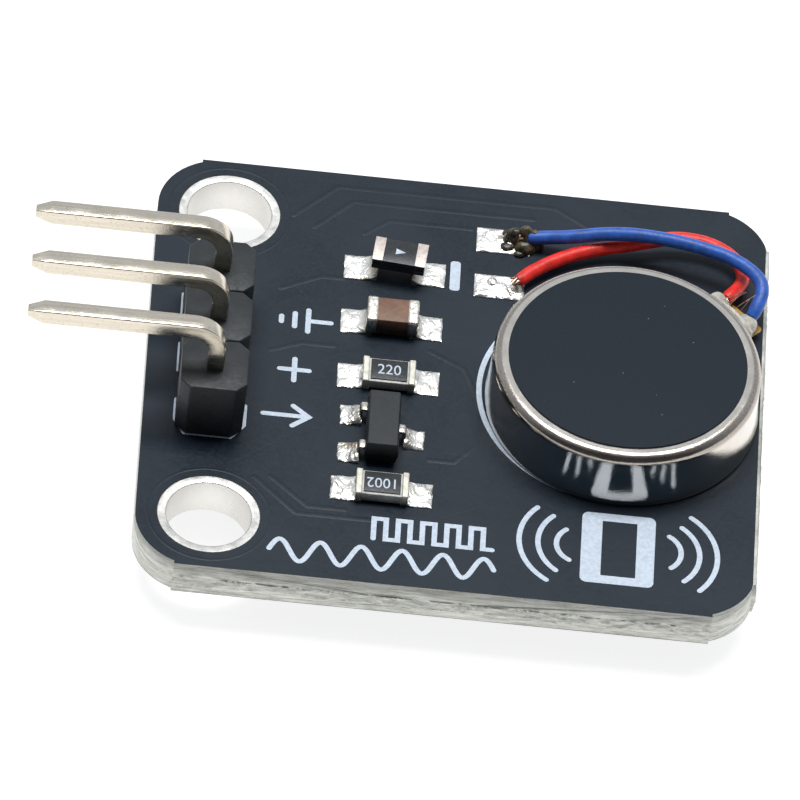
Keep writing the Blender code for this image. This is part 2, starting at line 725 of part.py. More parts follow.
def build_flex(material):
    """The flexible board: a disc on the base plate, with a tab that leaves through the case's slot."""
    radius = CASE_INNER_RADIUS - FLEX_INSET
    half = TAB_WIDTH / 2
    meet = math.degrees(math.asin(half / radius))
    outline = arc(0.0, 0.0, radius, meet, 360.0 - meet, ROUND_STEPS)
    reach = MOTOR_RADIUS + TAB_REACH
    outline += [(reach, -half), (reach, half)]
    hole = full_circle(0.0, 0.0, SHAFT_DIAMETER / 2 + FLEX_HOLE_CLEARANCE)
    flex = plate("motor_flex", [outline, hole], FLEX_THICKNESS, material)
    flex.location = (MOTOR_X, MOTOR_Y, (FLEX_Z + FLEX_TOP_Z) / 2)
    flex.rotation_euler.z = math.radians(TAB_ANGLE)


def build_stator(shaft_material, magnet_material, brush_material, washer_material):
    centre = (MOTOR_X, MOTOR_Y, 0.0)
    disc(
        "motor_shaft", SHAFT_DIAMETER / 2, BASE_Z, CASE_INNER_TOP_Z - FIT,
        centre, shaft_material, SMALL_STEPS,
    )
    ring(
        "ring_magnet", MAGNET_BORE / 2, CASE_INNER_RADIUS - MAGNET_INSET, MAGNET_Z, MAGNET_TOP_Z,
        centre, magnet_material,
    )
    ring(
        "thrust_washer", SHAFT_DIAMETER / 2 + BEARING_CLEARANCE, WASHER_DIAMETER / 2, WASHER_Z,
        WASHER_Z + WASHER_THICKNESS, centre, washer_material, SMALL_STEPS,
    )
    foot = FLEX_TOP_Z + FIT
    tip = ROTOR_Z - FIT
    start = -BRUSH_LENGTH / 2
    stop = BRUSH_LENGTH / 2
    bend = start + BRUSH_LENGTH * BRUSH_FOOT_SHARE
    leaf = [
        (start, foot), (bend + BRUSH_SHEET, foot), (stop - BRUSH_SHEET * 2, tip - BRUSH_SHEET),
        (stop, tip - BRUSH_SHEET), (stop, tip), (stop - BRUSH_SHEET * 3, tip),
        (bend, foot + BRUSH_SHEET), (start, foot + BRUSH_SHEET),
    ]
    for name, side in (("left", -1), ("right", 1)):
        outline = [(x * side, z) for x, z in leaf]
        place = (MOTOR_X, MOTOR_Y + side * BRUSH_OFFSET, 0.0)
        standing_plate(f"brush_{name}", outline, BRUSH_WIDTH, place, brush_material)


# ---------------------------------------------------------------- rotor


def rotor_outline(radius, boss):
    """A little over half a disc, with a round boss about the axis."""
    edge = arc(0.0, 0.0, radius, -ROTOR_HALF_ANGLE, ROTOR_HALF_ANGLE, 48)
    back = arc(0.0, 0.0, boss, ROTOR_HALF_ANGLE, 360.0 - ROTOR_HALF_ANGLE, 16)
    return edge + back


def weight_outline(grow):
    """The counterweight's ring segment, grown on all sides by a clearance."""
    inner = COIL_ORBIT - grow
    outer = ROTOR_RADIUS - WEIGHT_WALL + grow
    spread_in = WEIGHT_HALF_ANGLE + math.degrees(grow / inner)
    spread_out = WEIGHT_HALF_ANGLE + math.degrees(grow / outer)
    outline = arc(0.0, 0.0, outer, -spread_out, spread_out, 12)
    return outline + arc(0.0, 0.0, inner, spread_in, -spread_in, 8)


def coil_places():
    places = {}
    for name, angle in (("left", COIL_ANGLE), ("right", -COIL_ANGLE)):
        turn = math.radians(angle)
        places[name] = (COIL_ORBIT * math.cos(turn), COIL_ORBIT * math.sin(turn))
    return places


def build_rotor(board_material, resin, copper, tungsten, bronze):
    """Everything that turns hangs from an empty on the shaft's axis."""
    axis = bpy.data.objects.new("rotor_axis", None)
    parts.objects.link(axis)
    axis.location = (MOTOR_X, MOTOR_Y, 0.0)
    axis.rotation_euler.z = math.radians(ROTOR_REST_ANGLE)
    height = ROTOR_TOP_Z - ROTOR_BODY_Z
    middle = (ROTOR_TOP_Z + ROTOR_BODY_Z) / 2
    bearing_hole = full_circle(0.0, 0.0, BEARING_RADIUS + FIT)
    pieces = []

    board = plate(
        "rotor_board", [rotor_outline(ROTOR_RADIUS - FIT, ROTOR_BOSS / 2), bearing_hole],
        ROTOR_BOARD_THICKNESS, board_material,
    )
    board.location.z = ROTOR_Z + ROTOR_BOARD_THICKNESS / 2
    pieces.append(board)

    pockets = [full_circle(x, y, COIL_RADIUS + FIT, 32) for x, y in coil_places().values()]
    outlines = [rotor_outline(ROTOR_RADIUS, ROTOR_BOSS / 2), bearing_hole] + pockets + [weight_outline(FIT)]
    moulding = plate("rotor_moulding", outlines, height, resin)
    moulding.location.z = middle
    pieces.append(moulding)

    for name, (x, y) in coil_places().items():
        coil = plate(
            f"rotor_coil_{name}",
            [full_circle(x, y, COIL_RADIUS, 32), full_circle(x, y, COIL_HOLE / 2, 16)], height, copper,
        )
        coil.location.z = middle
        pieces.append(coil)

    weight = plate("counterweight", [weight_outline(0.0)], height, tungsten)
    weight.location.z = middle
    pieces.append(weight)

    pieces.append(
        ring(
            "rotor_bearing", SHAFT_DIAMETER / 2 + BEARING_CLEARANCE, BEARING_RADIUS,
            ROTOR_Z - BEARING_NOSE, WASHER_Z - BEARING_CLEARANCE, (0.0, 0.0, 0.0), bronze, SMALL_STEPS,
        )
    )
    for piece in pieces:
        piece.parent = axis


# ---------------------------------------------------------------- leads


def route_points(route):
    chosen = [motor_place(angle, MOTOR_RADIUS + gap * MM, height * MM) for angle, gap, height in route]
    return smooth_route(chosen, LEAD_STEP)


def build_leads(colours, solder, glue):
    """Each lead runs from its solder pad on the board to its joint on the motor's tab."""
    for name, route in (("red", RED_ROUTE), ("blue", BLUE_ROUTE)):
        points = route_points(route)
        shares = [LEAD_BARE_SHARE] * 2 + [1.0] * (len(points) - 4) + [LEAD_BARE_SHARE] * 2
        swept_wire(f"{name}_lead", points, LEAD_DIAMETER / 2, shares, colours[name])
        start = points[0]
        pad_x = start.x - LEAD_DIAMETER / 4 - LEAD_PAD_LENGTH / 2
        pad_z = TOP + FIT + LEAD_SOLDER_HEIGHT / 2
        pad_size = (LEAD_PAD_LENGTH, LEAD_PAD_DEPTH, LEAD_SOLDER_HEIGHT)
        pad = box(f"lead_solder_{name}", pad_size, (pad_x, start.y, pad_z), solder)
        round_edges(pad, LEAD_SOLDER_EDGE, 2)
        angle = route[-1][0]
        joint_distance = MOTOR_RADIUS + route[-1][1] * MM - TAB_SOLDER_DIAMETER / 2 - TAB_SOLDER_GAP
        place = motor_place(angle, joint_distance, 0.0)
        base = FLEX_TOP_Z + FIT
        radius = TAB_SOLDER_DIAMETER / 2
        dome = [(radius * wide, base + TAB_SOLDER_HEIGHT * high) for wide, high in TAB_SOLDER_DOME]
        turned(f"tab_solder_{name}", dome, (place.x, place.y, 0.0), solder, SMALL_STEPS, False)
    inner = MOTOR_RADIUS + FIT
    outer = inner + GLUE_THICKNESS
    outline = arc(0.0, 0.0, outer, -GLUE_HALF_ANGLE, GLUE_HALF_ANGLE, 12)
    outline += arc(0.0, 0.0, inner, GLUE_HALF_ANGLE, -GLUE_HALF_ANGLE, 12)
    bead = plate("tab_glue", [outline], GLUE_HEIGHT, glue)
    bead.location = (MOTOR_X, MOTOR_Y, FLEX_TOP_Z + FIT + GLUE_HEIGHT / 2)
    bead.rotation_euler.z = math.radians(TAB_ANGLE + GLUE_OFFSET)


# ---------------------------------------------------------------- assembly


def main():
    tin = make_material("solder", (0.78, 0.78, 0.76), 0.25, 1.0)
    nickel = make_material("nickel", (0.72, 0.68, 0.62), 0.2, 1.0)
    black = make_material("black_plastic", (0.03, 0.034, 0.04), 0.5)
    ceramic = make_material("ceramic", (0.03, 0.03, 0.032), 0.45)
    end_metal = make_material("end_metal", (0.75, 0.73, 0.68), 0.35, 1.0)

    build_board(make_material("solder_mask", (0.02, 0.028, 0.036), 0.45))
    build_screw_barrels(make_material("tinned_plating", (0.85, 0.85, 0.83), 0.3, 1.0))
    build_header_housing(black)
    build_header_pins(make_material("pin_metal", (0.66, 0.6, 0.52), 0.3, 1.0), tin)

    diode_set = (ceramic, end_metal, tin)
    chip(
        "diode", CHIP_X + DIODE_SHIFT, DIODE_Y, DIODE_LENGTH, DIODE_HEIGHT, DIODE_BAND,
        DIODE_STANDOFF, DIODE_TURN, DIODE_STANDOFF - FIT, diode_set,
    )
    brown = make_material("capacitor_ceramic", (0.23, 0.13, 0.08), 0.6)
    rise = CHIP_STANDOFF + CAPACITOR_HEIGHT * CAPACITOR_SOLDER_SHARE
    chip(
        "capacitor", CHIP_X, CAPACITOR_Y, CHIP_LENGTH, CAPACITOR_HEIGHT, CAPACITOR_BAND,
        CHIP_STANDOFF, 0.0, rise, (brown, end_metal, tin),
    )
    rise = CHIP_STANDOFF + RESISTOR_HEIGHT * RESISTOR_SOLDER_SHARE
    for name, y in (("upper_resistor", UPPER_RESISTOR_Y), ("lower_resistor", LOWER_RESISTOR_Y)):
        chip(
            name, CHIP_X, y, CHIP_LENGTH, RESISTOR_HEIGHT, RESISTOR_BAND,
            CHIP_STANDOFF, 0.0, rise, (ceramic, end_metal, tin),
        )
    build_transistor(make_material("moulded_epoxy", (0.045, 0.05, 0.05), 0.6), end_metal, tin)

    build_motor_shell(
        nickel,
        make_material("sticker_black", (0.03, 0.04, 0.05), 0.8),
        make_material("adhesive", (0.1, 0.1, 0.09), 0.9),
    )
    build_flex(make_material("polyimide", (0.55, 0.28, 0.03), 0.35))
    build_stator(
        make_material("steel", (0.6, 0.6, 0.6), 0.25, 1.0),
        make_material("sintered_magnet", (0.1, 0.1, 0.1), 0.6),
        make_material("spring_bronze", (0.8, 0.55, 0.25), 0.3, 1.0),
        make_material("washer_film", (0.8, 0.8, 0.75), 0.5),
    )
    build_rotor(
        make_material("rotor_laminate", (0.05, 0.2, 0.1), 0.5),
        make_material("rotor_resin", (0.02, 0.02, 0.02), 0.5),
        make_material("copper_wire", (0.72, 0.33, 0.15), 0.35, 1.0),
        make_material("tungsten", (0.35, 0.35, 0.36), 0.4, 1.0),
        make_material("sintered_bronze", (0.55, 0.38, 0.2), 0.45, 1.0),
    )
    colours = {
        "red": make_material("red_insulation", (0.62, 0.02, 0.015), 0.45),
        "blue": make_material("blue_insulation", (0.015, 0.07, 0.4), 0.45),
    }
    build_leads(colours, tin, make_material("clear_glue", (0.85, 0.85, 0.8), 0.3))


clear_scene()
parts = make_collection(MODEL)
cutters = make_collection("cutters")
main()
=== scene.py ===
"""Finishes and fine shapes for a coin vibration motor on its driver board.

Laid out as an add-on whose operators each make one piece, or one group of like pieces, round the
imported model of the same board. Metres, +Z up; the origin is the centre of the board's underside.
"""

import math

import bmesh
import bpy
from bpy.props import FloatProperty, FloatVectorProperty, PointerProperty
from bpy.types import Operator, Panel, PropertyGroup
from mathutils import Matrix, Vector, noise


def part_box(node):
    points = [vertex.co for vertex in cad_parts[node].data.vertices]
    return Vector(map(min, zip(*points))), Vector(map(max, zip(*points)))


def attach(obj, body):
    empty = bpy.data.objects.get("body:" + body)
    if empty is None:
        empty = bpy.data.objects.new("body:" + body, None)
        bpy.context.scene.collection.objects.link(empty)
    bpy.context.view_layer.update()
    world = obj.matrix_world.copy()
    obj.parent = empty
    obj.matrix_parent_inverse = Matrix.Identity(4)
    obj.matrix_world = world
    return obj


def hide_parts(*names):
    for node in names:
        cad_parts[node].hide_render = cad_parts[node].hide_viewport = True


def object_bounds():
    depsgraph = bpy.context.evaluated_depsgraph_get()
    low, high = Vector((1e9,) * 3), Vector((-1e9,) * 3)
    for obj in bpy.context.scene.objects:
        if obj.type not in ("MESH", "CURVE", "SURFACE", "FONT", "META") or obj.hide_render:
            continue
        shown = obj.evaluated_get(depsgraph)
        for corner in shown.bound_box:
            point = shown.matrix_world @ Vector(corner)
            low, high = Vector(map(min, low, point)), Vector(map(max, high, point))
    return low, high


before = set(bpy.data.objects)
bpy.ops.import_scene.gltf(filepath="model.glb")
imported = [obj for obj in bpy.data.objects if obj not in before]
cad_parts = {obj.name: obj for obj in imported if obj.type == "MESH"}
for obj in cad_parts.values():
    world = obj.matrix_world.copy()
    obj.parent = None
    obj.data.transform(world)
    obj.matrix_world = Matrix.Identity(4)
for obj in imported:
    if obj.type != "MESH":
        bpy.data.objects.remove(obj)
CAD_BOX = [list(corner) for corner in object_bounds()]

bl_info = {
    "name": "Coin Vibration Module",
    "version": (1, 0, 0),
    "blender": (4, 5, 0),
    "location": "View3D > Sidebar > Vibration Module",
    "description": "Builds the finished pieces of a coin vibration motor on its driver board",
    "category": "Add Mesh",
}

MM = 0.001
BOARD_LOW, BOARD_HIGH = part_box("circuit_board")
TOP = BOARD_HIGH.z
CASE_LOW, CASE_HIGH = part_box("motor_case")
MOTOR = Vector(((CASE_LOW.x + CASE_HIGH.x) / 2, (CASE_LOW.y + CASE_HIGH.y) / 2, 0.0))
MOTOR_RADIUS = (CASE_HIGH.x - CASE_LOW.x) / 2
SAME = 1e-6
TAB_ANGLE = 46.0  # degrees from +X to the middle of the motor's amber tab
TEAR_STEP = 0.08 * MM  # spacing of the points along a torn edge
TEAR_ROWS = 5  # cuts across the height of a torn edge
DIODE_TURN = -5.5  # degrees that the diode stands askew
ROUTE_STEP = 0.1 * MM  # spacing of the points along a lead
TAB_BARE = 5  # steps of a lead that are bare at the tab

# The leads' routes round the motor: degrees, distance outside the case and height over the board in mm
RED_ROUTE = (
    (129.0, 1.88, 0.42), (126.2, 1.80, 0.43), (121.1, 1.94, 0.44), (113.5, 2.13, 0.45),
    (106.5, 2.31, 0.45), (98.2, 2.51, 0.47), (90.5, 2.69, 0.53), (84.2, 2.95, 0.64),
    (79.5, 3.21, 0.72), (74.8, 3.40, 0.75), (69.4, 3.54, 0.70), (64.0, 3.52, 0.60),
    (59.6, 3.30, 0.52), (56.8, 2.84, 0.50), (55.6, 2.26, 0.55), (55.2, 1.65, 0.66),
    (55.0, 0.95, 0.66),
)
BLUE_ROUTE = (
    (118.9, 3.79, 0.42), (116.9, 3.54, 0.47), (112.1, 3.24, 0.58), (105.4, 2.88, 0.82),
    (98.2, 2.72, 1.04), (90.9, 2.62, 1.20), (83.4, 2.56, 1.30), (75.7, 2.56, 1.35),
    (68.0, 2.65, 1.35), (61.0, 2.74, 1.35), (54.6, 2.72, 1.34), (49.7, 2.57, 1.30),
    (46.5, 2.23, 1.20), (44.5, 1.76, 1.00), (43.3, 1.40, 0.80), (42.0, 0.95, 0.66),
)

# The solder pads of the two leads: two corners each, in mm
WIRE_PADS = {"red": ((0.5, 4.64), (2.38, 5.8)), "blue": ((0.5, 6.98), (2.52, 8.2))}


# ---------------------------------------------------------------- settings


def length(name, description, default):
    return FloatProperty(name=name, description=description, default=default, min=0.0, unit="LENGTH")


def colour(name, description, default):
    return FloatVectorProperty(
        name=name, description=description, default=default, size=3, min=0.0, max=1.0, subtype="COLOR"
    )


class BoardSettings(PropertyGroup):
    """Colours and thin layers of the board."""

    mask_colour: colour("Solder mask", "Colour of the board's lacquer", (0.004, 0.011, 0.021))
    laminate_colour: colour("Laminate", "Colour of the glass fibre edges", (0.86, 0.87, 0.77))
    print_colour: colour("Print", "Colour of the printed marks", (0.54, 0.62, 0.72))
    mask_depth: length("Mask thickness", "Thickness of the lacquer", 0.02 * MM)
    print_rise: length("Print height", "Height of the printed marks", 0.012 * MM)
    track_rise: length("Track height", "How far a track lifts the lacquer", 0.006 * MM)
    track_width: length("Track width", "Width of the raised tracks", 0.28 * MM)
    stroke_width: length("Stroke width", "Width of the printed strokes", 0.2 * MM)
    tear_depth: length("Torn edge", "Deepest tear along the snapped edges", 0.1 * MM)
    screw_ring: length("Clearance ring", "Radius of the ring round a screw hole", 2.35 * MM)
    land_width: length("Land", "Width of the plated land round a screw hole", 0.335 * MM)
    plating: length("Plating", "Thickness of the screw holes' plating", 0.05 * MM)


class MetalSettings(PropertyGroup):
    """Colours of the plated, tinned and drawn metals."""

    nickel_colour: colour("Nickel", "Colour of the motor's case", (0.70, 0.65, 0.59))
    pin_colour: colour("Pins", "Colour of the header's pins", (0.74, 0.67, 0.56))
    tin_colour: colour("Tin", "Colour of solder and plating", (0.93, 0.91, 0.86))
    pin_edge: length("Pin edge", "Rounding of the pins' edges", 0.05 * MM)
    solder_lumps: length("Solder lumps", "Height of the lumps on the solder", 0.05 * MM)
    pad_copper: length("Pad copper", "Thickness of the pads under the solder", 0.03 * MM)


class MotorSettings(PropertyGroup):
    """The motor's case, sticker and leads."""

    sticker_colour: colour("Sticker", "Colour of the motor's top film", (0.009, 0.016, 0.024))
    red_colour: colour("Red lead", "Colour of the red insulation", (0.74, 0.018, 0.010))
    blue_colour: colour("Blue lead", "Colour of the blue insulation", (0.018, 0.095, 0.42))
    tab_colour: colour("Flex", "Colour of the flexible board's film", (0.42, 0.22, 0.015))
    wall: length("Case wall", "Thickness of the drawn case", 0.2 * MM)
    shoulder: length("Case shoulder", "Radius of the case's upper edge", 0.38 * MM)
    lead_diameter: length("Lead", "Diameter of a lead's insulation", 0.52 * MM)
    strand_diameter: length("Strand", "Diameter of one strand in a lead", 0.09 * MM)


class StageSettings(PropertyGroup):
    """Floor, lamps and camera."""

    floor_colour: colour("Floor", "Colour of the floor", (0.30, 0.30, 0.30))
    floor_size: length("Floor size", "Width of the floor", 4.0)
    softbox_power: FloatProperty(
        name="Softbox", description="Power of the large lamp", default=2.5, unit="POWER",
    )
    focal_length: FloatProperty(
        name="Focal length", description="Focal length of the camera in mm", default=748.2, unit="CAMERA",
    )
    camera_place: FloatVectorProperty(
        name="Camera place", description="Where the camera stands, from the board's top",
        default=(-28.590 * MM, -422.733 * MM, 448.476 * MM), size=3, subtype="TRANSLATION", unit="LENGTH",
    )
    camera_turn: FloatVectorProperty(
        name="Camera turn", description="The camera's turn about X, Y and Z",
        default=[math.radians(turn) for turn in (42.9903, -5.7219, 2.4985)], size=3, subtype="EULER",
        unit="ROTATION",
    )


class ModuleSettings(PropertyGroup):
    """Everything that can be set on the module."""

    board: PointerProperty(type=BoardSettings, name="Board", description="The board and its layers")
    metal: PointerProperty(type=MetalSettings, name="Metal", description="Solder, pins and plating")
    motor: PointerProperty(type=MotorSettings, name="Motor", description="The motor and its leads")
    stage: PointerProperty(type=StageSettings, name="Stage", description="Floor, lamps and camera")


def settings():
    return bpy.context.scene.vibration_module


# ---------------------------------------------------------------- finishes


class Finish:
    """One material: a Principled shader fed by patterns that are measured in millimetres."""

    def __init__(self, name, base, roughness, metallic=0.0, sockets=None):
        self.base = base
        self.material = bpy.data.materials.new(name)
        self.material.use_nodes = True
        self.tree = self.material.node_tree
        self.shader = self.tree.nodes["Principled BSDF"]
        given = {"Base Color": base, "Roughness": roughness, "Metallic": metallic}
        self.feed(self.shader, given | (sockets or {}))
        place = self.add("ShaderNodeTexCoord").outputs["Object"]
        self.place = self.stretched(1 / MM, place)
        self.normal = None

    def feed(self, node, sockets):
        for key, value in sockets.items():
            socket = node.inputs[key]
            if isinstance(value, bpy.types.NodeSocket):
                self.tree.links.new(value, socket)
            elif socket.type == "RGBA":
                socket.default_value = (*value, 1.0)
            else:
                socket.default_value = value

    def add(self, kind, sockets=None, **options):
        node = self.tree.nodes.new(kind)
        for key, value in options.items():
            setattr(node, key, value)
        self.feed(node, sockets or {})
        return node

    def stretched(self, scale, place=None):
        scale = (scale,) * 3 if isinstance(scale, (int, float)) else scale
        node = self.add("ShaderNodeMapping", {"Vector": place or self.place, "Scale": scale})
        return node.outputs["Vector"]

    def noise(self, scale, detail=2.0, rough=0.5, stretch=None, distortion=0.0):
        place = self.stretched(stretch) if stretch else self.place
        sockets = {"Vector": place, "Scale": scale, "Detail": detail, "Roughness": rough}
        sockets["Distortion"] = distortion
        return self.add("ShaderNodeTexNoise", sockets).outputs["Fac"]

    def cells(self, scale, stretch=None, feature="F1"):
        place = self.stretched(stretch) if stretch else self.place
        node = self.add("ShaderNodeTexVoronoi", {"Vector": place, "Scale": scale}, feature=feature)
        return node.outputs["Distance"]

    def span(self, value, low, high, to_low=0.0, to_high=1.0):
        sockets = {"Value": value, "From Min": low, "From Max": high, "To Min": to_low, "To Max": to_high}
        return self.add("ShaderNodeMapRange", sockets).outputs["Result"]

    def combine(self, operation, first, second):
        node = self.add("ShaderNodeMath", operation=operation)
        self.feed(node, {0: first, 1: second})
        return node.outputs["Value"]

    def mix(self, factor, first, second):
        node = self.add("ShaderNodeMix", data_type="RGBA")
        for index, value in ((0, factor), (6, first), (7, second)):
            if isinstance(value, bpy.types.NodeSocket):
                self.tree.links.new(value, node.inputs[index])
            else:
                node.inputs[index].default_value = value if index == 0 else (*value, 1.0)
        return node.outputs[2]

    def colour(self, value):
        self.feed(self.shader, {"Base Color": value})
        return self

    def gloss(self, value):
        self.feed(self.shader, {"Roughness": value})
        return self

    def mottled(self, pattern, dark, light, low=0.3, high=0.7):
        """The base colour times dark where the pattern is low, and times light where it is high."""
        return self.mix(self.span(pattern, low, high), shade(self.base, dark), shade(self.base, light))

    def gloss_from(self, pattern, smooth, rough):
        """Lets the roughness follow a pattern between two values."""
        return self.gloss(self.span(pattern, 0.3, 0.7, smooth, rough))

    def height(self):
        return self.add("ShaderNodeSeparateXYZ", {"Vector": self.place}).outputs["Z"]

    def darkened_by_height(self, value, low, high, dark):
        """Darkens a colour to dark times itself at one height and leaves it at another.

        Heights are in millimetres over the board. On the chips and the transistor this is painted shade,
        darker towards the board; on the laminate it makes the board's edge darker towards its top.
        """
        wavy = self.combine("ADD", self.height(), self.span(self.noise(2.0, 3.0), 0.2, 0.8, -0.12, 0.12))
        amount = self.span(wavy, TOP / MM + low, TOP / MM + high, dark, 1.0)
        return self.add("ShaderNodeVectorMath", {0: value, 1: amount}, operation="MULTIPLY").outputs["Vector"]

    def bump(self, height, depth, strength=1.0):
        """Adds relief whose full height is depth, in millimetres."""
        sockets = {"Height": height, "Distance": depth * MM, "Strength": strength}
        if self.normal:
            sockets["Normal"] = self.normal
        self.normal = self.add("ShaderNodeBump", sockets).outputs["Normal"]
        self.feed(self.shader, {"Normal": self.normal})
        return self


FINISHES = {}


def finish(make):
    """Makes a finish once, the first time that a piece asks for it."""

    def once():
        if make.__name__ not in FINISHES:
            FINISHES[make.__name__] = make(make.__name__).material
        return FINISHES[make.__name__]

    return once


def shade(base, factor):
    return tuple(min(1.0, part * factor) for part in base)


@finish
def solder_mask(name):
    base = settings().board.mask_colour[:]
    made = Finish(name, base, 0.4, 0.0, {"Specular IOR Level": 0.3})
    broad = made.noise(0.35, 3.0)
    speckle = made.noise(9.0, 3.0, 0.7)
    warmer = (base[0] * 1.35, base[1] * 1.2, base[2] * 1.1)
    tint = made.mix(made.span(speckle, 0.35, 0.65), shade(base, 0.75), warmer)
    made.colour(made.mix(made.span(broad, 0.3, 0.7), tint, shade(base, 1.15)))
    made.gloss(made.span(made.combine("ADD", speckle, broad), 0.7, 1.3, 0.34, 0.5))
    made.bump(made.noise(3.0, 3.0, 0.6), 0.006)
    scratch = made.cells(0.55, (1.0, 0.35, 1.0), "DISTANCE_TO_EDGE")
    return made.bump(made.span(scratch, 0.0, 0.012), 0.003, 0.5)


@finish
def laminate(name):
    base = settings().board.laminate_colour[:]
    made = Finish(name, base, 0.62)
    plies = made.noise(1.0, 4.0, 0.65, (0.9, 0.9, 9.0))
    fibres = made.noise(6.0, 3.0, 0.7, (1.0, 1.0, 3.0))
    body = made.mottled(plies, 0.62, 1.2, 0.38, 0.62)
    streaked = made.mix(made.span(fibres, 0.5, 0.72), body, (0.90, 0.90, 0.84))
    # The edge is darker towards its top.
    made.colour(made.darkened_by_height(streaked, -0.25, -0.65, 0.62))
    made.gloss_from(fibres, 0.5, 0.75)
    made.bump(plies, 0.03, 0.7)
    return made.bump(fibres, 0.02, 0.8)


@finish
def torn_laminate(name):
    base = settings().board.laminate_colour[:]
    made = Finish(name, base, 0.5)
    tufts = made.noise(2.2, 5.0, 0.7, (0.8, 0.8, 3.5), 0.6)
    made.colour(made.mix(made.span(tufts, 0.36, 0.6), shade(base, 0.68), (0.93, 0.94, 0.87)))
    made.gloss_from(tufts, 0.6, 0.32)
    made.bump(tufts, 0.06)
    return made.bump(made.noise(14.0, 3.0, 0.7, (0.4, 0.4, 1.5)), 0.02)


@finish
def print_ink(name):
    base = settings().board.print_colour[:]
    made = Finish(name, base, 0.5)
    grain = made.noise(7.0, 3.0, 0.6)
    made.colour(made.mottled(grain, 0.86, 1.06, 0.35, 0.65))
    return made.bump(grain, 0.006)


@finish
def tin_plating(name):
    base = shade(settings().metal.tin_colour, 0.86)
    made = Finish(name, base, 0.3, 1.0)
    ripple = made.noise(3.0, 4.0, 0.6)
    made.colour(made.mix(made.span(ripple, 0.3, 0.7), shade(base, 0.94), base))
    made.gloss_from(ripple, 0.26, 0.38)
    made.bump(ripple, 0.004)
    return made.bump(made.noise(16.0, 2.0), 0.002)


@finish
def solder(name):
    base = settings().metal.tin_colour[:]
    made = Finish(name, base, 0.3, 1.0)
    folds = made.noise(1.5, 2.0, 0.45, None, 1.2)
    creases = made.cells(1.3, None, "DISTANCE_TO_EDGE")
    stain = made.noise(0.9, 4.0, 0.65)
    tint = made.mix(made.span(stain, 0.56, 0.74), base, (0.42, 0.33, 0.20))
    # Painted shade: the solder turns dark brown from about 0.17 mm over the board upwards, as where it climbs
    # against a part.
    against_part = made.span(made.height(), TOP / MM + 0.17, TOP / MM + 0.38)
    painted_climb_shade = made.mix(against_part, tint, (0.34, 0.28, 0.20))
    # Painted shade: darker lines along the creases.
    made.colour(made.mix(made.span(creases, 0.0, 0.015), shade(base, 0.6), painted_climb_shade))
    made.gloss_from(folds, 0.28, 0.46)
    made.bump(folds, 0.09)
    made.bump(made.span(creases, 0.0, 0.05), 0.006)
    return made.bump(made.noise(9.0, 3.0, 0.6), 0.006)


@finish
def flux(name):
    made = Finish(name, (0.03, 0.025, 0.014), 0.3)
    char = made.noise(3.0, 4.0, 0.6)
    made.colour(made.mix(made.span(char, 0.4, 0.68), (0.008, 0.009, 0.006), (0.13, 0.10, 0.05)))
    made.gloss_from(char, 0.2, 0.45)
    return made.bump(char, 0.05)


@finish
def drawn_pin(name):
    base = settings().metal.pin_colour[:]
    made = Finish(name, base, 0.3, 1.0)
    along = made.noise(2.2, 4.0, 0.6, (0.12, 5.0, 5.0))
    wear = made.noise(1.1, 3.0, 0.6)
    speckle = made.noise(12.0, 3.0, 0.7)
    drawn = made.mottled(along, 0.92, 1.05, 0.36, 0.64)
    made.colour(made.mix(made.span(speckle, 0.56, 0.70), drawn, shade(base, 0.72)))
    worn = made.span(wear, 0.4, 0.7, 0.0, 0.08)
    made.gloss(made.combine("ADD", made.span(along, 0.3, 0.7, 0.13, 0.2), worn))
    made.bump(along, 0.003)
    return made.bump(speckle, 0.004)


@finish
def header_plastic(name):
    base = (0.014, 0.018, 0.021)
    made = Finish(name, base, 0.45, 0.0, {"Specular IOR Level": 0.4})
    grain = made.noise(7.0, 3.0, 0.6)
    rub = made.noise(0.9, 4.0, 0.6)
    made.colour(made.mottled(rub, 0.7, 1.5, 0.35, 0.7))
    made.gloss_from(grain, 0.4, 0.6)
    return made.bump(grain, 0.012)


@finish
def tinned_cap(name):
    base = (0.78, 0.74, 0.67)
    made = Finish(name, base, 0.34, 1.0)
    grain = made.noise(5.0, 3.0, 0.65)
    silvered = made.mottled(grain, 0.74, 1.14, 0.34, 0.66)
    # Painted shade: the capacitor's ends and the transistor's legs darken towards the board.
    made.colour(made.darkened_by_height(silvered, 0.1, 0.8, 0.3))
    made.gloss_from(grain, 0.28, 0.48)
    return made.bump(grain, 0.03)


@finish
def matt_cap(name):
    base = (0.66, 0.64, 0.56)
    made = Finish(name, base, 0.5, 0.45)
    grain = made.noise(4.0, 3.0, 0.6)
    dull = made.mottled(grain, 0.86, 1.1, 0.34, 0.66)
    # Painted shade: the ends darken towards the board.
    made.colour(made.darkened_by_height(dull, 0.0, 0.55, 0.3))
    made.gloss_from(grain, 0.42, 0.6)
    return made.bump(grain, 0.015)


@finish
def diode_band(name):
    base = (0.62, 0.54, 0.50)
    made = Finish(name, base, 0.5, 0.6)
    grain = made.noise(5.0, 4.0, 0.65)
    made.colour(made.mottled(grain, 0.8, 1.15, 0.34, 0.66))
    made.gloss_from(grain, 0.4, 0.6)
    return made.bump(grain, 0.015)


@finish
def alumina(name):
    base = (0.58, 0.58, 0.55)
    made = Finish(name, base, 0.55)
    grain = made.noise(8.0, 3.0, 0.6)
    chalk = made.mottled(grain, 0.8, 1.1)
    # Painted shade: the ceramic darkens towards the board.
    made.colour(made.darkened_by_height(chalk, 0.0, 0.5, 0.2))
    return made.bump(grain, 0.01)


@finish
def black_glaze(name):
    base = (0.016, 0.018, 0.021)
    made = Finish(name, base, 0.34)
    grain = made.noise(8.0, 3.0, 0.6)
    made.colour(made.mottled(grain, 0.8, 1.4))
    made.gloss_from(grain, 0.28, 0.42)
    return made.bump(grain, 0.006)


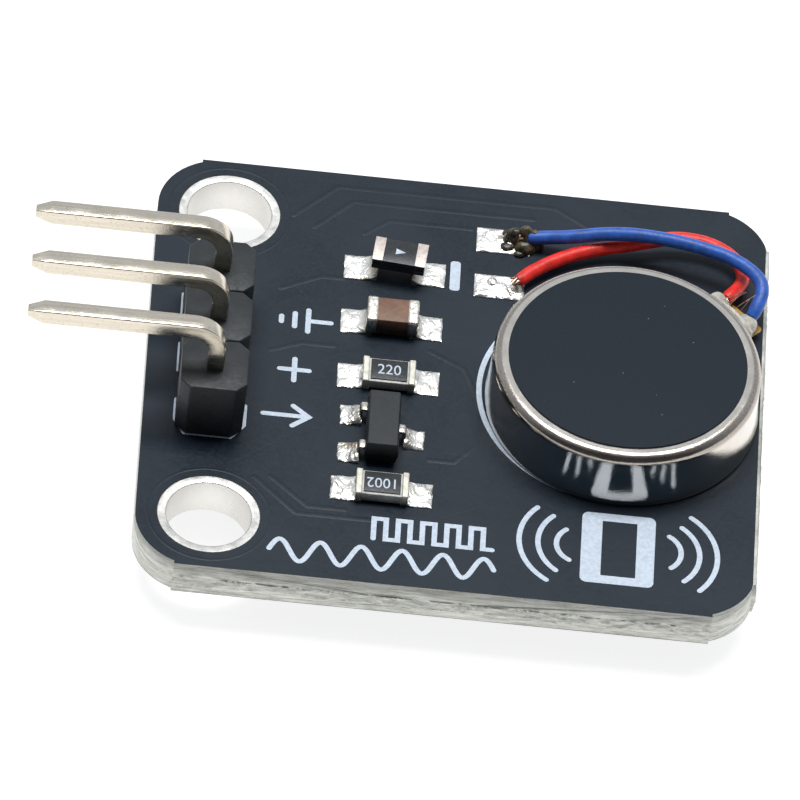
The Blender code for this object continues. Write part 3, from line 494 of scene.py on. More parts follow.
@finish
def brown_ceramic(name):
    base = (0.21, 0.115, 0.068)
    made = Finish(name, base, 0.5)
    grain = made.noise(7.0, 3.0, 0.65)
    layers = made.noise(1.2, 2.0, 0.5, (0.3, 0.3, 9.0))
    body = made.mottled(grain, 0.78, 1.25)
    tinted = made.mix(made.span(layers, 0.45, 0.6, 0.0, 0.35), body, (0.13, 0.05, 0.03))
    # Painted shade: the ceramic darkens towards the board.
    made.colour(made.darkened_by_height(tinted, 0.35, 0.92, 0.16))
    return made.bump(grain, 0.012)


@finish
def moulded_epoxy(name):
    base = (0.026, 0.031, 0.033)
    made = Finish(name, base, 0.6, 0.0, {"Specular IOR Level": 0.34})
    grain = made.noise(9.0, 4.0, 0.7)
    speckled = made.mottled(grain, 0.7, 1.35)
    # Painted shade: the moulding darkens to near black towards the board.
    made.colour(made.darkened_by_height(speckled, 0.5, 1.12, 0.1))
    made.gloss_from(grain, 0.52, 0.68)
    return made.bump(grain, 0.014)


@finish
def case_nickel(name):
    base = settings().metal.nickel_colour[:]
    made = Finish(name, base, 0.12, 1.0)
    haze = made.noise(1.2, 4.0, 0.6)
    orange_peel = made.noise(2.5, 2.0, 0.5, (1.0, 1.0, 0.25))
    turning = made.noise(22.0, 3.0, 0.6, (0.03, 0.03, 1.0))
    pits = made.noise(12.0, 3.0, 0.6)
    height = made.height()
    top = CASE_HIGH.z / MM
    drawn = made.mottled(haze, 0.94, 1.05)
    # Painted shade: below the top's edge the shoulder is darkened to a speckled brown, dimming its
    # reflection.
    below_top = made.span(height, top - 0.002, top - 0.015)
    shoulder = made.combine("MULTIPLY", below_top, made.span(height, top - 0.5, top - 0.3))
    speckle = made.span(made.noise(15.0, 3.0, 0.7), 0.3, 0.7, 0.25, 0.75)
    shoulder_painted_shade = made.mix(speckle, shade(base, 0.85), (0.22, 0.175, 0.145))
    made.colour(made.mix(shoulder, drawn, shoulder_painted_shade))
    rim = made.span(height, top - 0.35, top - 0.1, 0.0, 0.1)
    rubbed = made.span(haze, 0.4, 0.75, 0.08, 0.15)
    worn = made.combine("ADD", rubbed, made.span(pits, 0.55, 0.75, 0.0, 0.06))
    made.gloss(made.combine("ADD", worn, rim))
    made.bump(orange_peel, 0.005)
    made.bump(turning, 0.0012)
    made.bump(pits, 0.003)
    return made.bump(made.combine("MULTIPLY", made.noise(16.0, 2.0, 0.6), rim), 0.05)


@finish
def sticker_film(name):
    base = settings().motor.sticker_colour[:]
    made = Finish(name, base, 0.58, 0.0, {"Specular IOR Level": 0.16})
    weave = made.noise(11.0, 3.0, 0.7)
    dust = made.cells(1.5)
    lift = made.mottled(weave, 0.72, 1.3, 0.32, 0.68)
    made.colour(made.mix(made.span(dust, 0.035, 0.02), lift, (0.30, 0.32, 0.32)))
    made.gloss_from(weave, 0.5, 0.68)
    return made.bump(weave, 0.008)


@finish
def foam_pad(name):
    base = (0.035, 0.035, 0.033)
    made = Finish(name, base, 0.85)
    pores = made.cells(14.0)
    made.colour(made.mottled(pores, 0.5, 1.6, 0.1, 0.6))
    return made.bump(pores, 0.02)


@finish
def amber_film(name):
    base = settings().motor.tab_colour[:]
    made = Finish(name, base, 0.28, 0.0, {"Coat Weight": 0.4})
    clouds = made.noise(1.6, 3.0, 0.5)
    made.colour(made.mottled(clouds, 0.7, 1.25))
    made.gloss_from(clouds, 0.2, 0.36)
    return made.bump(made.noise(5.0, 2.0), 0.006)


@finish
def clear_glue(name):
    base = (0.74, 0.72, 0.64)
    made = Finish(name, base, 0.16, 0.0, {"Transmission Weight": 0.45, "IOR": 1.45})
    milk = made.noise(2.0, 3.0, 0.5)
    made.colour(made.mottled(milk, 0.86, 1.2, 0.35, 0.65))
    made.gloss_from(milk, 0.1, 0.26)
    return made.bump(milk, 0.03)


def insulation(name, base):
    made = Finish(name, base, 0.4)
    rub = made.noise(2.4, 4.0, 0.65)
    grain = made.noise(13.0, 3.0, 0.6)
    made.colour(made.mottled(rub, 0.72, 1.3, 0.34, 0.68))
    made.gloss_from(grain, 0.36, 0.52)
    made.bump(rub, 0.012)
    return made.bump(grain, 0.008)


@finish
def red_insulation(name):
    return insulation(name, settings().motor.red_colour[:])


@finish
def blue_insulation(name):
    return insulation(name, settings().motor.blue_colour[:])


@finish
def tinned_strand(name):
    base = (0.62, 0.50, 0.38)
    made = Finish(name, base, 0.35, 1.0)
    wear = made.noise(5.0, 3.0, 0.6)
    made.colour(made.mix(made.span(wear, 0.35, 0.65), (0.55, 0.30, 0.17), (0.74, 0.70, 0.64)))
    return made.bump(wear, 0.01)


def machined(name, base, roughness, scale=6.0, metallic=1.0):
    """A plain worked surface inside the motor: fine grain, with shinier rubbed patches."""
    made = Finish(name, base, roughness, metallic)
    grain = made.noise(scale, 4.0, 0.65)
    rub = made.noise(scale / 8, 3.0, 0.5)
    made.colour(made.mottled(grain, 0.75, 1.2))
    made.gloss(made.span(rub, 0.3, 0.7, roughness * 0.7, roughness * 1.3))
    return made.bump(grain, 0.01)


@finish
def ground_steel(name):
    return machined(name, (0.60, 0.60, 0.60), 0.22)


@finish
def sintered_magnet(name):
    return machined(name, (0.10, 0.10, 0.11), 0.5, 10.0)


@finish
def washer_film(name):
    return machined(name, (0.72, 0.72, 0.64), 0.4, 8.0, 0.0)


@finish
def spring_bronze(name):
    return machined(name, (0.80, 0.55, 0.25), 0.26, 8.0)


@finish
def sintered_bronze(name):
    return machined(name, (0.50, 0.34, 0.18), 0.45, 12.0)


@finish
def tungsten(name):
    return machined(name, (0.33, 0.33, 0.35), 0.4, 9.0)


@finish
def rotor_laminate(name):
    return machined(name, (0.03, 0.14, 0.07), 0.42, 5.0, 0.0)


@finish
def rotor_resin(name):
    return machined(name, (0.018, 0.018, 0.018), 0.5, 7.0, 0.0)


@finish
def copper_winding(name):
    made = Finish(name, (0.62, 0.26, 0.12), 0.3, 1.0)
    turns = made.noise(3.0, 3.0, 0.5, (1.0, 1.0, 7.0))
    made.colour(made.mix(made.span(turns, 0.35, 0.65), (0.36, 0.13, 0.06), (0.80, 0.38, 0.18)))
    return made.bump(turns, 0.03)


# ---------------------------------------------------------------- shapes


def loose(name, shape, materials=()):
    """An object made from a bmesh, which is freed, in the scene but on no body."""
    mesh = bpy.data.meshes.new(name)
    shape.to_mesh(mesh)
    shape.free()
    for material in materials:
        mesh.materials.append(material)
    item = bpy.data.objects.new(name, mesh)
    bpy.context.scene.collection.objects.link(item)
    return item


def smooth(item, crease):
    """Shades an object smooth, with its edges sharp past crease degrees."""
    item.data.shade_smooth()
    item.data.set_sharp_from_angle(angle=math.radians(crease))


def put(name, shape, materials, replaces=(), crease=35.0):
    """Turns a finished bmesh into a piece that rides on the module."""
    item = loose(name, shape, materials)
    smooth(item, crease)
    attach(item, "module")
    if replaces:
        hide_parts(*replaces)
    return item


def outward(shape):
    bmesh.ops.recalc_face_normals(shape, faces=shape.faces)
    return shape


def absorb(shape, other):
    """Adds another bmesh's faces to shape, and frees it."""
    mesh = bpy.data.meshes.new("part")
    other.to_mesh(mesh)
    other.free()
    shape.from_mesh(mesh)
    bpy.data.meshes.remove(mesh)


def absorb_curve(shape, curve):
    """Adds the surface of a curve or a text to shape as a mesh, and deletes the curve."""
    guide = bpy.data.objects.new(curve.name, curve)
    bpy.context.scene.collection.objects.link(guide)
    bpy.context.view_layer.update()
    mesh = bpy.data.meshes.new_from_object(guide.evaluated_get(bpy.context.evaluated_depsgraph_get()))
    shape.from_mesh(mesh)
    bmesh.ops.remove_doubles(shape, verts=shape.verts, dist=SAME / 10)
    bpy.data.objects.remove(guide, do_unlink=True)
    bpy.data.curves.remove(curve)
    bpy.data.meshes.remove(mesh)


def in_mm(points):
    """Points that are given in millimetres, in metres."""
    return [Vector(point) * MM for point in points]


def pairs(points):
    return [(point.x, point.y) for point in points]


def arc(x, y, radius, start, stop, steps=16):
    """Points along an arc, from start to stop in degrees."""
    angles = [math.radians(start + (stop - start) * i / steps) for i in range(steps + 1)]
    return [Vector((x + radius * math.cos(a), y + radius * math.sin(a))) for a in angles]


def circle(x, y, radius, steps):
    return arc(x, y, radius, 0, 360, steps)[:-1]


def rounded_rectangle(low_x, low_y, high_x, high_y, radius, steps=6):
    corners = (
        (high_x - radius, high_y - radius, 0), (low_x + radius, high_y - radius, 90),
        (low_x + radius, low_y + radius, 180), (high_x - radius, low_y + radius, 270),
    )
    outline = []
    for x, y, start in corners:
        outline += arc(x, y, radius, start, start + 90, steps)
    return outline


def stroke(points, width, round_ends=True):
    """The outline of a pen stroke along points."""
    points = [Vector(point) for point in points]
    half = width / 2
    left = []
    right = []
    for i, point in enumerate(points):
        before = (point - points[i - 1]).normalized() if i else (points[1] - point).normalized()
        after = (points[i + 1] - point).normalized() if i < len(points) - 1 else before
        along = (before + after).normalized()
        across = Vector((-along.y, along.x)) * half / max(0.5, along.dot(after))
        left.append(point + across)
        right.append(point - across)
    if not round_ends:
        return right + left[::-1]
    last = math.degrees(math.atan2(*(points[-1] - points[-2]).yx))
    first = math.degrees(math.atan2(*(points[1] - points[0]).yx))
    end_cap = arc(*points[-1], half, last - 90, last + 90, 8)[1:-1]
    start_cap = arc(*points[0], half, first + 90, first + 270, 8)[1:-1]
    return right + end_cap + left[::-1] + start_cap


def lift(shape, faces, vector):
    """Extrudes faces along a vector and returns the faces at the far end."""
    grown = bmesh.ops.extrude_face_region(shape, geom=faces)["geom"]
    corners = [g for g in grown if isinstance(g, bmesh.types.BMVert)]
    bmesh.ops.translate(shape, verts=corners, vec=vector)
    return [g for g in grown if isinstance(g, bmesh.types.BMFace)]


def add_slab(shape, outline, low, high, holes=(), slope=0.0):
    """Adds a flat outline with holes, raised between two heights, with its upper edge sloped inwards."""
    edges = []
    for loop in (outline, *holes):
        corners = [shape.verts.new((*point, low)) for point in loop]
        edges += [shape.edges.new(pair) for pair in zip(corners, corners[1:] + corners[:1])]
    filled = bmesh.ops.triangle_fill(shape, use_beauty=True, edges=edges)["geom"]
    faces = [g for g in filled if isinstance(g, bmesh.types.BMFace)]
    tall = high - low
    top = lift(shape, faces, (0.0, 0.0, tall * (0.3 if slope else 1.0)))
    if slope:
        outward(shape)
        bmesh.ops.inset_region(shape, faces=top, thickness=slope, depth=tall * 0.7, use_even_offset=True)


def slab(outline, low, high, holes=(), slope=0.0):
    shape = bmesh.new()
    add_slab(shape, outline, low, high, holes, slope)
    return outward(shape)


def soften(shape, width, segments=3, angle=30.0):
    """Rounds every edge that is sharper than an angle."""
    limit = math.radians(angle)
    sharp = [e for e in shape.edges if len(e.link_faces) == 2 and e.calc_face_angle(0.0) > limit]
    bmesh.ops.bevel(
        shape, geom=sharp, offset=width, segments=segments, affect="EDGES", profile=0.5, material=-1,
        clamp_overlap=True,
    )
    return shape


def block(size, centre, edge, segments=3, turn=0.0):
    """A cuboid with rounded edges, turned about its upright axis by degrees."""
    shape = bmesh.new()
    bmesh.ops.create_cube(shape, size=1.0, matrix=Matrix.Diagonal((*size, 1.0)))
    soften(shape, edge, segments)
    place = Matrix.Translation(centre) @ Matrix.Rotation(math.radians(turn), 4, "Z")
    bmesh.ops.transform(shape, matrix=place, verts=shape.verts)
    return outward(shape)


def turned(profile, centre, steps=128, ring=False):
    """A profile of (radius, height) points spun about the upright axis through centre."""
    shape = bmesh.new()
    corners = [shape.verts.new((centre[0] + radius, centre[1], height)) for radius, height in profile]
    joined = list(zip(corners, corners[1:]))
    if ring:
        joined.append((corners[-1], corners[0]))
    edges = [shape.edges.new(pair) for pair in joined]
    bmesh.ops.spin(
        shape, geom=corners + edges, cent=(centre[0], centre[1], 0.0), axis=(0.0, 0.0, 1.0),
        dvec=(0.0, 0.0, 0.0), angle=math.tau, steps=steps, use_merge=True,
    )
    bmesh.ops.remove_doubles(shape, verts=shape.verts, dist=SAME / 10)
    return outward(shape)


def lumpy(shape, size, scale, seed, keep_below=None):
    """Pushes the surface in and out along its normals by smooth noise; scale is in lumps per mm."""
    shape.normal_update()
    moves = []
    for corner in shape.verts:
        if keep_below is None or corner.co.z > keep_below:
            push = noise.noise(corner.co * (scale / MM) + Vector((seed * 7.3, seed, seed * 2.1)))
            moves.append((corner, corner.normal * push * size))
    for corner, move in moves:
        corner.co += move
    return shape


def add_drop(shape, centre, size, lumps, seed):
    """Adds a lumpy drop with half sizes of size."""
    drop = bmesh.new()
    bmesh.ops.create_icosphere(drop, subdivisions=4, radius=1.0)
    place = Matrix.Translation(centre) @ Matrix.Diagonal((*size, 1.0))
    bmesh.ops.transform(drop, matrix=place, verts=drop.verts)
    lumpy(drop, lumps, 2.2, seed)
    absorb(shape, drop)


def smooth_route(points, step):
    """Points about a step apart along a Catmull-Rom curve through the given points."""
    padded = [points[0] * 2 - points[1]] + points + [points[-1] * 2 - points[-2]]
    fine = []
    for p0, p1, p2, p3 in zip(padded, padded[1:], padded[2:], padded[3:]):
        count = max(1, round((p2 - p1).length / step))
        for i in range(count):
            t = i / count
            fine.append(
                (p1 * 2 + (p2 - p0) * t + (p0 * 2 - p1 * 5 + p2 * 4 - p3) * t * t
                 + (p1 * 3 - p0 - p2 * 3 + p3) * t * t * t) / 2
            )
    fine.append(points[-1])
    return fine


def add_wire(shape, points, radius, shares=None, resolution=4):
    """Adds a round wire along points; shares scale its radius from point to point."""
    curve = bpy.data.curves.new("wire", "CURVE")
    curve.dimensions = "3D"
    curve.bevel_depth = radius
    curve.bevel_resolution = resolution
    curve.use_fill_caps = True
    spline = curve.splines.new("POLY")
    spline.points.add(len(points) - 1)
    for i, (point, place) in enumerate(zip(spline.points, points)):
        point.co = (*place, 1.0)
        point.radius = shares[i] if shares else 1.0
    absorb_curve(shape, curve)


def wire(points, radius, shares=None, resolution=4):
    shape = bmesh.new()
    add_wire(shape, points, radius, shares, resolution)
    return outward(shape)


def bent_sheet(path, thickness, width, place, edge):
    """Sheet metal that follows an upright path of (x, z) points, with its middle at place."""
    shape = slab(stroke(path, thickness, False), -width / 2, width / 2)
    stand = Matrix.Translation(place) @ Matrix.Rotation(math.radians(90), 4, "X")
    bmesh.ops.transform(shape, matrix=stand, verts=shape.verts)
    return soften(outward(shape), edge, 2)


def cad_copy(node):
    """A merged copy of a CAD node's mesh, with its flat faces made whole."""
    shape = bmesh.new()
    shape.from_mesh(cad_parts[node].data)
    bmesh.ops.remove_doubles(shape, verts=shape.verts, dist=SAME / 10)
    bmesh.ops.dissolve_limit(
        shape, angle_limit=math.radians(0.5), use_dissolve_boundaries=False,
        verts=shape.verts, edges=shape.edges,
    )
    return shape


def restyle(node, material):
    """Gives a CAD node that keeps its own shape a finish."""
    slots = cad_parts[node].data.materials
    slots.clear()
    slots.append(material)


# ---------------------------------------------------------------- board


def snapped_edge(face):
    """Whether a face is the proud strip left where the board was snapped from its panel."""
    middle = face.calc_center_median()
    front_or_back = abs(abs(middle.y) - BOARD_HIGH.y) < SAME * 5
    return abs(face.normal.z) < 0.01 and (front_or_back or abs(middle.x - BOARD_HIGH.x) < SAME * 5)


def tear(corner, outwards, depth):
    """Moves one point of a snapped edge inwards, in long splinters with finer chips on them."""
    place = corner.co / MM
    along = Vector((place.x * 1.5, place.y * 1.5, place.z * 4.0))
    splinters = abs(noise.noise(along)) * 1.5
    chips = abs(noise.noise(along * 4.0)) * 0.7
    corner.co -= outwards * depth * min(1.0, 0.15 + splinters + chips)
    corner.co.z += depth * 0.35 * noise.noise(along * 1.7 + Vector((9.0, 3.0, 1.0)))


def rise(edge):
    return abs(edge.verts[0].co.z - edge.verts[1].co.z)


def rounded_length(edge):
    """An edge's length in millimetres, to three places."""
    return round(edge.calc_length() / MM, 3)


def laminate_core():
    """The glass fibre board: smooth scored slopes, routed corners and torn, snapped edges."""
    board = settings().board
    shape = cad_copy("circuit_board")
    for corner in shape.verts:
        if abs(corner.co.z - TOP) < SAME:
            corner.co.z -= board.mask_depth
        elif abs(corner.co.z) < SAME:
            corner.co.z += board.mask_depth
    shape.normal_update()
    strips = [face for face in shape.faces if snapped_edge(face)]
    level = {e for f in strips for e in f.edges if rise(e) < SAME}
    for edge in level:
        edge.tag = edge.calc_length() > 2 * TEAR_STEP
    for size in sorted({rounded_length(e) for e in level if e.tag}):
        same = [e for e in shape.edges if e.tag and rounded_length(e) == size]
        bmesh.ops.subdivide_edges(shape, edges=same, cuts=int(size * MM / TEAR_STEP), use_grid_fill=False)
    shape.normal_update()
    strips = [face for face in shape.faces if snapped_edge(face)]
    upright = {e for f in strips for e in f.edges if rise(e) > 0.05 * MM}
    bmesh.ops.subdivide_edges(shape, edges=list(upright), cuts=TEAR_ROWS, use_grid_fill=False)
    shape.normal_update()
    torn = {}
    for face in shape.faces:
        if snapped_edge(face):
            face.material_index = 1
            for corner in face.verts:
                torn[corner] = face.normal.copy()
    for corner, outwards in torn.items():
        tear(corner, outwards, board.tear_depth)
    bmesh.ops.triangulate(shape, faces=[f for f in shape.faces if len(f.verts) > 4])
    finishes = (laminate(), torn_laminate())
    put("laminate_core", outward(shape), finishes, ["circuit_board"], 25.0)


def mask_skin(name, height, inwards):
    """The lacquer on one face of the board, with its openings."""
    shape = cad_copy("circuit_board")
    others = [
        f for f in shape.faces
        if abs(f.normal.z) < 0.99 or abs(f.calc_center_median().z - height) > SAME
    ]
    bmesh.ops.delete(shape, geom=others, context="FACES")
    snapped = BOARD_HIGH.x - 0.24 * MM
    unevenness = 0.03 * MM
    for corner in shape.verts:
        if corner.co.x > snapped:
            corner.co.x = snapped + unevenness * noise.noise(corner.co / MM)
    lift(shape, shape.faces[:], (0.0, 0.0, inwards * settings().board.mask_depth))
    put(name, outward(shape), (solder_mask(),))


def raised_tracks():
    """Copper tracks that lift the lacquer a little."""
    board = settings().board
    paths = [
        [(-7.2, -5.6), (-5.6, -7.2), (-2.6, -7.2)],
        [(-6.6, -5.5), (-5.2, -6.8), (-3.8, -6.8)],
        [(-6.4, 7.9), (-4.8, 9.6), (3.4, 9.6), (4.6, 8.8)],
        [(-5.6, 7.4), (-4.2, 8.9), (2.6, 8.9)],
        [(-3.7, 7.3), (-2.8, 8.1), (0.3, 8.1)],
        [(-6.9, 0.9), (-5.8, 1.4), (-4.6, 1.4)],
        [(-1.0, 1.6), (0.3, 0.9), (0.9, -0.6), (0.9, -2.9), (0.1, -3.9), (-0.8, -3.9)],
        [(-6.7, 4.1), (-5.2, 4.9), (-4.4, 4.9)],
    ]
    shape = bmesh.new()
    low = TOP - board.mask_depth / 2
    high = TOP + board.track_rise
    slope = 0.05 * MM
    for side in ("front", "back"):
        barrel_low, barrel_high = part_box(f"screw_barrel_{side}")
        centre = (barrel_low + barrel_high) / 2
        inner = circle(centre.x, centre.y, board.screw_ring * 0.93, 64)
        add_slab(shape, circle(centre.x, centre.y, board.screw_ring, 64), low, high, [inner], slope)
    for path in paths:
        add_slab(shape, stroke(in_mm(path), board.track_width), low, high, (), slope)
    put("raised_tracks", outward(shape), (solder_mask(),), crease=60.0)


class VIBRATION_OT_board(Operator):
    """Glass fibre core with torn edges, lacquer on both faces and the tracks under it"""

    bl_idname = "vibration.board"
    bl_label = "Board"

    def execute(self, context):
        laminate_core()
        mask_skin("solder_mask_top", TOP, -1)
        mask_skin("solder_mask_underside", 0.0, 1)
        raised_tracks()
        return {"FINISHED"}


# ---------------------------------------------------------------- printed marks


def printed(name, outlines):
    """Ink marks on the lacquer: each entry is an outline and its holes.

    Neighbours differ a little in height, so that no two tops coincide where strokes cross.
    """
    high = TOP + settings().board.print_rise
    low = TOP - settings().board.print_rise / 2
    stagger = 0.001 * MM
    shape = bmesh.new()
    for i, (outline, holes) in enumerate(outlines):
        add_slab(shape, outline, low, high + i % 5 * stagger, holes)
    put(name, outward(shape), (print_ink(),))


def strokes(paths, width=None):
    width = width or settings().board.stroke_width
    return [(stroke(in_mm(path), width), ()) for path in paths]


def bow(first, middle, last, steps=18):
    """Points along the circle through three points, in millimetres."""
    (ax, ay), (bx, by), (cx, cy) = first, middle, last
    d = 2 * (ax * (by - cy) + bx * (cy - ay) + cx * (ay - by))
    a2, b2, c2 = ax * ax + ay * ay, bx * bx + by * by, cx * cx + cy * cy
    x = (a2 * (by - cy) + b2 * (cy - ay) + c2 * (ay - by)) / d
    y = (a2 * (cx - bx) + b2 * (ax - cx) + c2 * (bx - ax)) / d
    start = math.degrees(math.atan2(ay - y, ax - x))
    stop = math.degrees(math.atan2(cy - y, cx - x))
    through = math.degrees(math.atan2(by - y, bx - x))
    if (through - start) % 360 > (stop - start) % 360:
        start, stop = stop, start
    return arc(x, y, math.hypot(ax - x, ay - y), start, start + (stop - start) % 360, steps)


def shaking_sign():
    """A frame with a window between two sets of bowed waves."""
    outer = in_mm(rounded_rectangle(4.97, -9.2, 7.7, -5.7, 0.25))
    window = in_mm(rounded_rectangle(5.73, -8.8, 7.02, -6.08, 0.03, 2))
    waves = [
        bow((3.3, -5.73), (2.67, -7.36), (3.75, -9.3)),
        bow((3.9, -6.09), (3.37, -7.36), (4.08, -8.78)),
        bow((4.4, -6.7), (4.06, -7.36), (4.55, -8.2)),
        bow((8.22, -6.55), (8.68, -7.4), (8.33, -8.1)),
        bow((8.67, -6.05), (9.37, -7.5), (8.83, -8.7)),
        bow((9.0, -5.5), (10.03, -7.4), (9.42, -9.1)),
    ]
    return [(outer, (window,))] + strokes(waves)


def pin_signs():
    """A ground sign, a plus and an arrow, one beside each pin."""
    ground = [
        [(-4.75, 2.52), (-5.6, 2.52)], [(-5.6, 3.07), (-5.6, 1.97)],
        [(-6.1, 2.86), (-6.1, 2.18)], [(-6.6, 2.66), (-6.6, 2.38)],
    ]
    plus = [[(-5.45, -0.02), (-6.55, -0.02)], [(-6.0, 0.53), (-6.0, -0.57)]]
    arrow = [[(-7.05, -2.36), (-5.35, -2.36)], [(-5.95, -1.86), (-5.35, -2.36), (-5.95, -2.86)]]
    return strokes(ground + plus + arrow)


def wave_band():
    """A pulse train over a slow wave."""
    low = -8.1
    high = -7.1
    pitch = 0.9
    pulses = []
    for i in range(5):
        x = -2.7 + i * pitch
        pulses += [(x, low), (x, high), (x + pitch / 2, high), (x + pitch / 2, low)]
    pulses.append((1.7, low))
    shares = [i / 120 for i in range(121)]
    swing = [(-6.5 + 8.3 * share, -9.1 + 0.52 * math.sin(math.tau * 5.5 * share)) for share in shares]
    return strokes([pulses, swing])


def part_outlines():
    """Corner lines round the header, a bar beside the diode and a ring round the motor."""
    edges = [
        [(-10.3, -2.1), (-10.3, -3.1), (-9.92, -3.76), (-8.2, -3.76), (-7.72, -3.1), (-7.72, -2.1)],
        [(-10.3, 0.73), (-10.3, -0.64)],
        [(-10.3, 3.27), (-10.3, 2.09)],
    ]
    bar = in_mm(rounded_rectangle(-0.42, 4.83, -0.04, 6.33, 0.12))
    outer = in_mm(circle(5.99, 0.07, 5.2, 160))
    inner = in_mm(circle(5.99, 0.07, 5.0, 160))
    return strokes(edges, 0.14 * MM) + [(bar, ()), (outer, (inner,))]


class VIBRATION_OT_print(Operator):
    """Printed marks: generic signs, outlines of the parts and a wave pattern"""

    bl_idname = "vibration.print"
    bl_label = "Printed marks"

    def execute(self, context):
        printed("printed_shaking_sign", shaking_sign())
        printed("printed_pin_signs", pin_signs())
        printed("printed_waves", wave_band())
        printed("printed_outlines", part_outlines())
        return {"FINISHED"}


# ---------------------------------------------------------------- screw barrels and header


class VIBRATION_OT_screw_barrels(Operator):
    """Plated linings of the two screw holes, with a land at each end"""

    bl_idname = "vibration.screw_barrels"
    bl_label = "Screw barrels"

    def execute(self, context):
        for side in ("front", "back"):
            node = f"screw_barrel_{side}"
            low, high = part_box(node)
            centre = (low + high) / 2
            land = (high.x - low.x) / 2
            bore = land - settings().board.land_width
            sheet = settings().board.plating
            lip = 0.04 * MM
            upper = pairs(arc(bore + lip, TOP - lip, lip, 180, 90, 4))
            lower = pairs(arc(bore + lip, lip, lip, 270, 180, 4))
            profile = upper + [
                (land - lip / 2, TOP), (land, TOP - lip / 2), (land, TOP - sheet),
                (bore + sheet, TOP - sheet), (bore + sheet, sheet),
                (land, sheet), (land, lip / 2), (land - lip / 2, 0.0),
            ] + lower
            shape = turned(profile, centre, 128, True)
            put(node + "_plating", shape, (tin_plating(),), [node])
        return {"FINISHED"}


def header_cells():
    """The housing: three square cells with chamfered corners, side by side."""
    low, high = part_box("header_housing")
    pitch = (high.y - low.y) / 3
    chamfer = 0.40 * MM
    gap = 0.01 * MM
    shape = bmesh.new()
    for i in range(3):
        front = low.y + pitch * i
        back = front + pitch
        corners = (
            (low.x + chamfer, front + gap), (high.x - chamfer, front + gap), (high.x, front + chamfer),
            (high.x, back - chamfer), (high.x - chamfer, back - gap), (low.x + chamfer, back - gap),
            (low.x, back - chamfer), (low.x, front + chamfer),
        )
        outline = [Vector(corner) for corner in corners]
        absorb(shape, soften(slab(outline, low.z, high.z), 0.06 * MM, 3, 20.0))
    return outward(shape)


def scale_end(shape, face, centre, factors):
    """Scales the corners of one face about a centre."""
    move = Matrix.Translation(centre)
    scaled = move @ Matrix.Diagonal((*factors, 1.0)) @ move.inverted()
    bmesh.ops.transform(shape, matrix=scaled, verts=list(face.verts))


def square_pin(node):
    """A square pin that rises, turns towards -X and tapers at both ends."""
    low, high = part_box(node)
    half = (high.y - low.y) / 2
    bend = 0.95 * MM
    taper = 0.6 * MM
    axis_x = high.x - half
    axis_z = high.z - half
    y = (low.y + high.y) / 2
    shape = bmesh.new()
    section = rounded_rectangle(-half, -half, half, half, settings().metal.pin_edge, 3)
    corners = [shape.verts.new((low.x, y + p.x / 2, axis_z + p.y / 2)) for p in section]
    end = bmesh.ops.contextual_create(shape, geom=corners)["faces"]
    end = lift(shape, end, (taper, 0.0, 0.0))
    scale_end(shape, end[0], (0.0, y, axis_z), (1.0, 2.0, 2.0))
    end = lift(shape, end, (axis_x - bend - low.x - taper, 0.0, 0.0))
    swept = bmesh.ops.spin(
        shape, geom=end + list(end[0].edges) + list(end[0].verts),
        cent=(axis_x - bend, y, axis_z - bend), axis=(0.0, 1.0, 0.0),
        dvec=(0.0, 0.0, 0.0), angle=math.radians(90), steps=14,
    )["geom_last"]
    end = [g for g in swept if isinstance(g, bmesh.types.BMFace)]
    end = lift(shape, end, (0.0, 0.0, low.z + taper - (axis_z - bend)))
    end = lift(shape, end, (0.0, 0.0, -taper))
    scale_end(shape, end[0], (axis_x, y, 0.0), (0.5, 0.5, 1.0))
    inside = [f for f in shape.faces if all(len(e.link_faces) > 2 for e in f.edges)]
    bmesh.ops.delete(shape, geom=inside, context="FACES_ONLY")
    return outward(shape)


class VIBRATION_OT_header(Operator):
    """The header's housing, its three square pins and their solder"""

    bl_idname = "vibration.header"
    bl_label = "Header"

    def execute(self, context):
        put("header_cells", header_cells(), (header_plastic(),), ["header_housing"])
        for side in ("front", "middle", "back"):
            node = f"header_pin_{side}"
            put(f"square_pin_{side}", square_pin(node), (drawn_pin(),), [node], 40.0)
            node = f"header_solder_{side}"
            low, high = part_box(node)
            centre = (low + high) / 2
            pad = (high.x - low.x) / 2
            waist = pad * 0.62
            hole = 0.3 * MM
            curve = [(waist + (pad - waist) * (1 - i / 8) ** 2.2, low.z * i / 8) for i in range(9)]
            profile = [(hole, TOP), (pad, TOP)] + curve + [(hole, low.z)]
            cone = lumpy(turned(profile, centre, 40, True), 0.02 * MM, 1.5, centre.y * 900)
            put(f"pin_solder_{side}", cone, (solder(),), [node])
        return {"FINISHED"}


# ---------------------------------------------------------------- chips and their solder


def close_foot(shape):
    """Drops the rim of a solder skin to its pad and closes it underneath."""
    rim = [e for e in shape.edges if e.is_boundary]
    grown = bmesh.ops.extrude_edge_only(shape, edges=rim)["geom"]
    for corner in grown:
        if isinstance(corner, bmesh.types.BMVert):
            corner.co.z = TOP + 0.004 * MM
    foot = [g for g in grown if isinstance(g, bmesh.types.BMEdge) and g.is_boundary]
    bmesh.ops.holes_fill(shape, edges=foot, sides=0)
    return outward(shape)


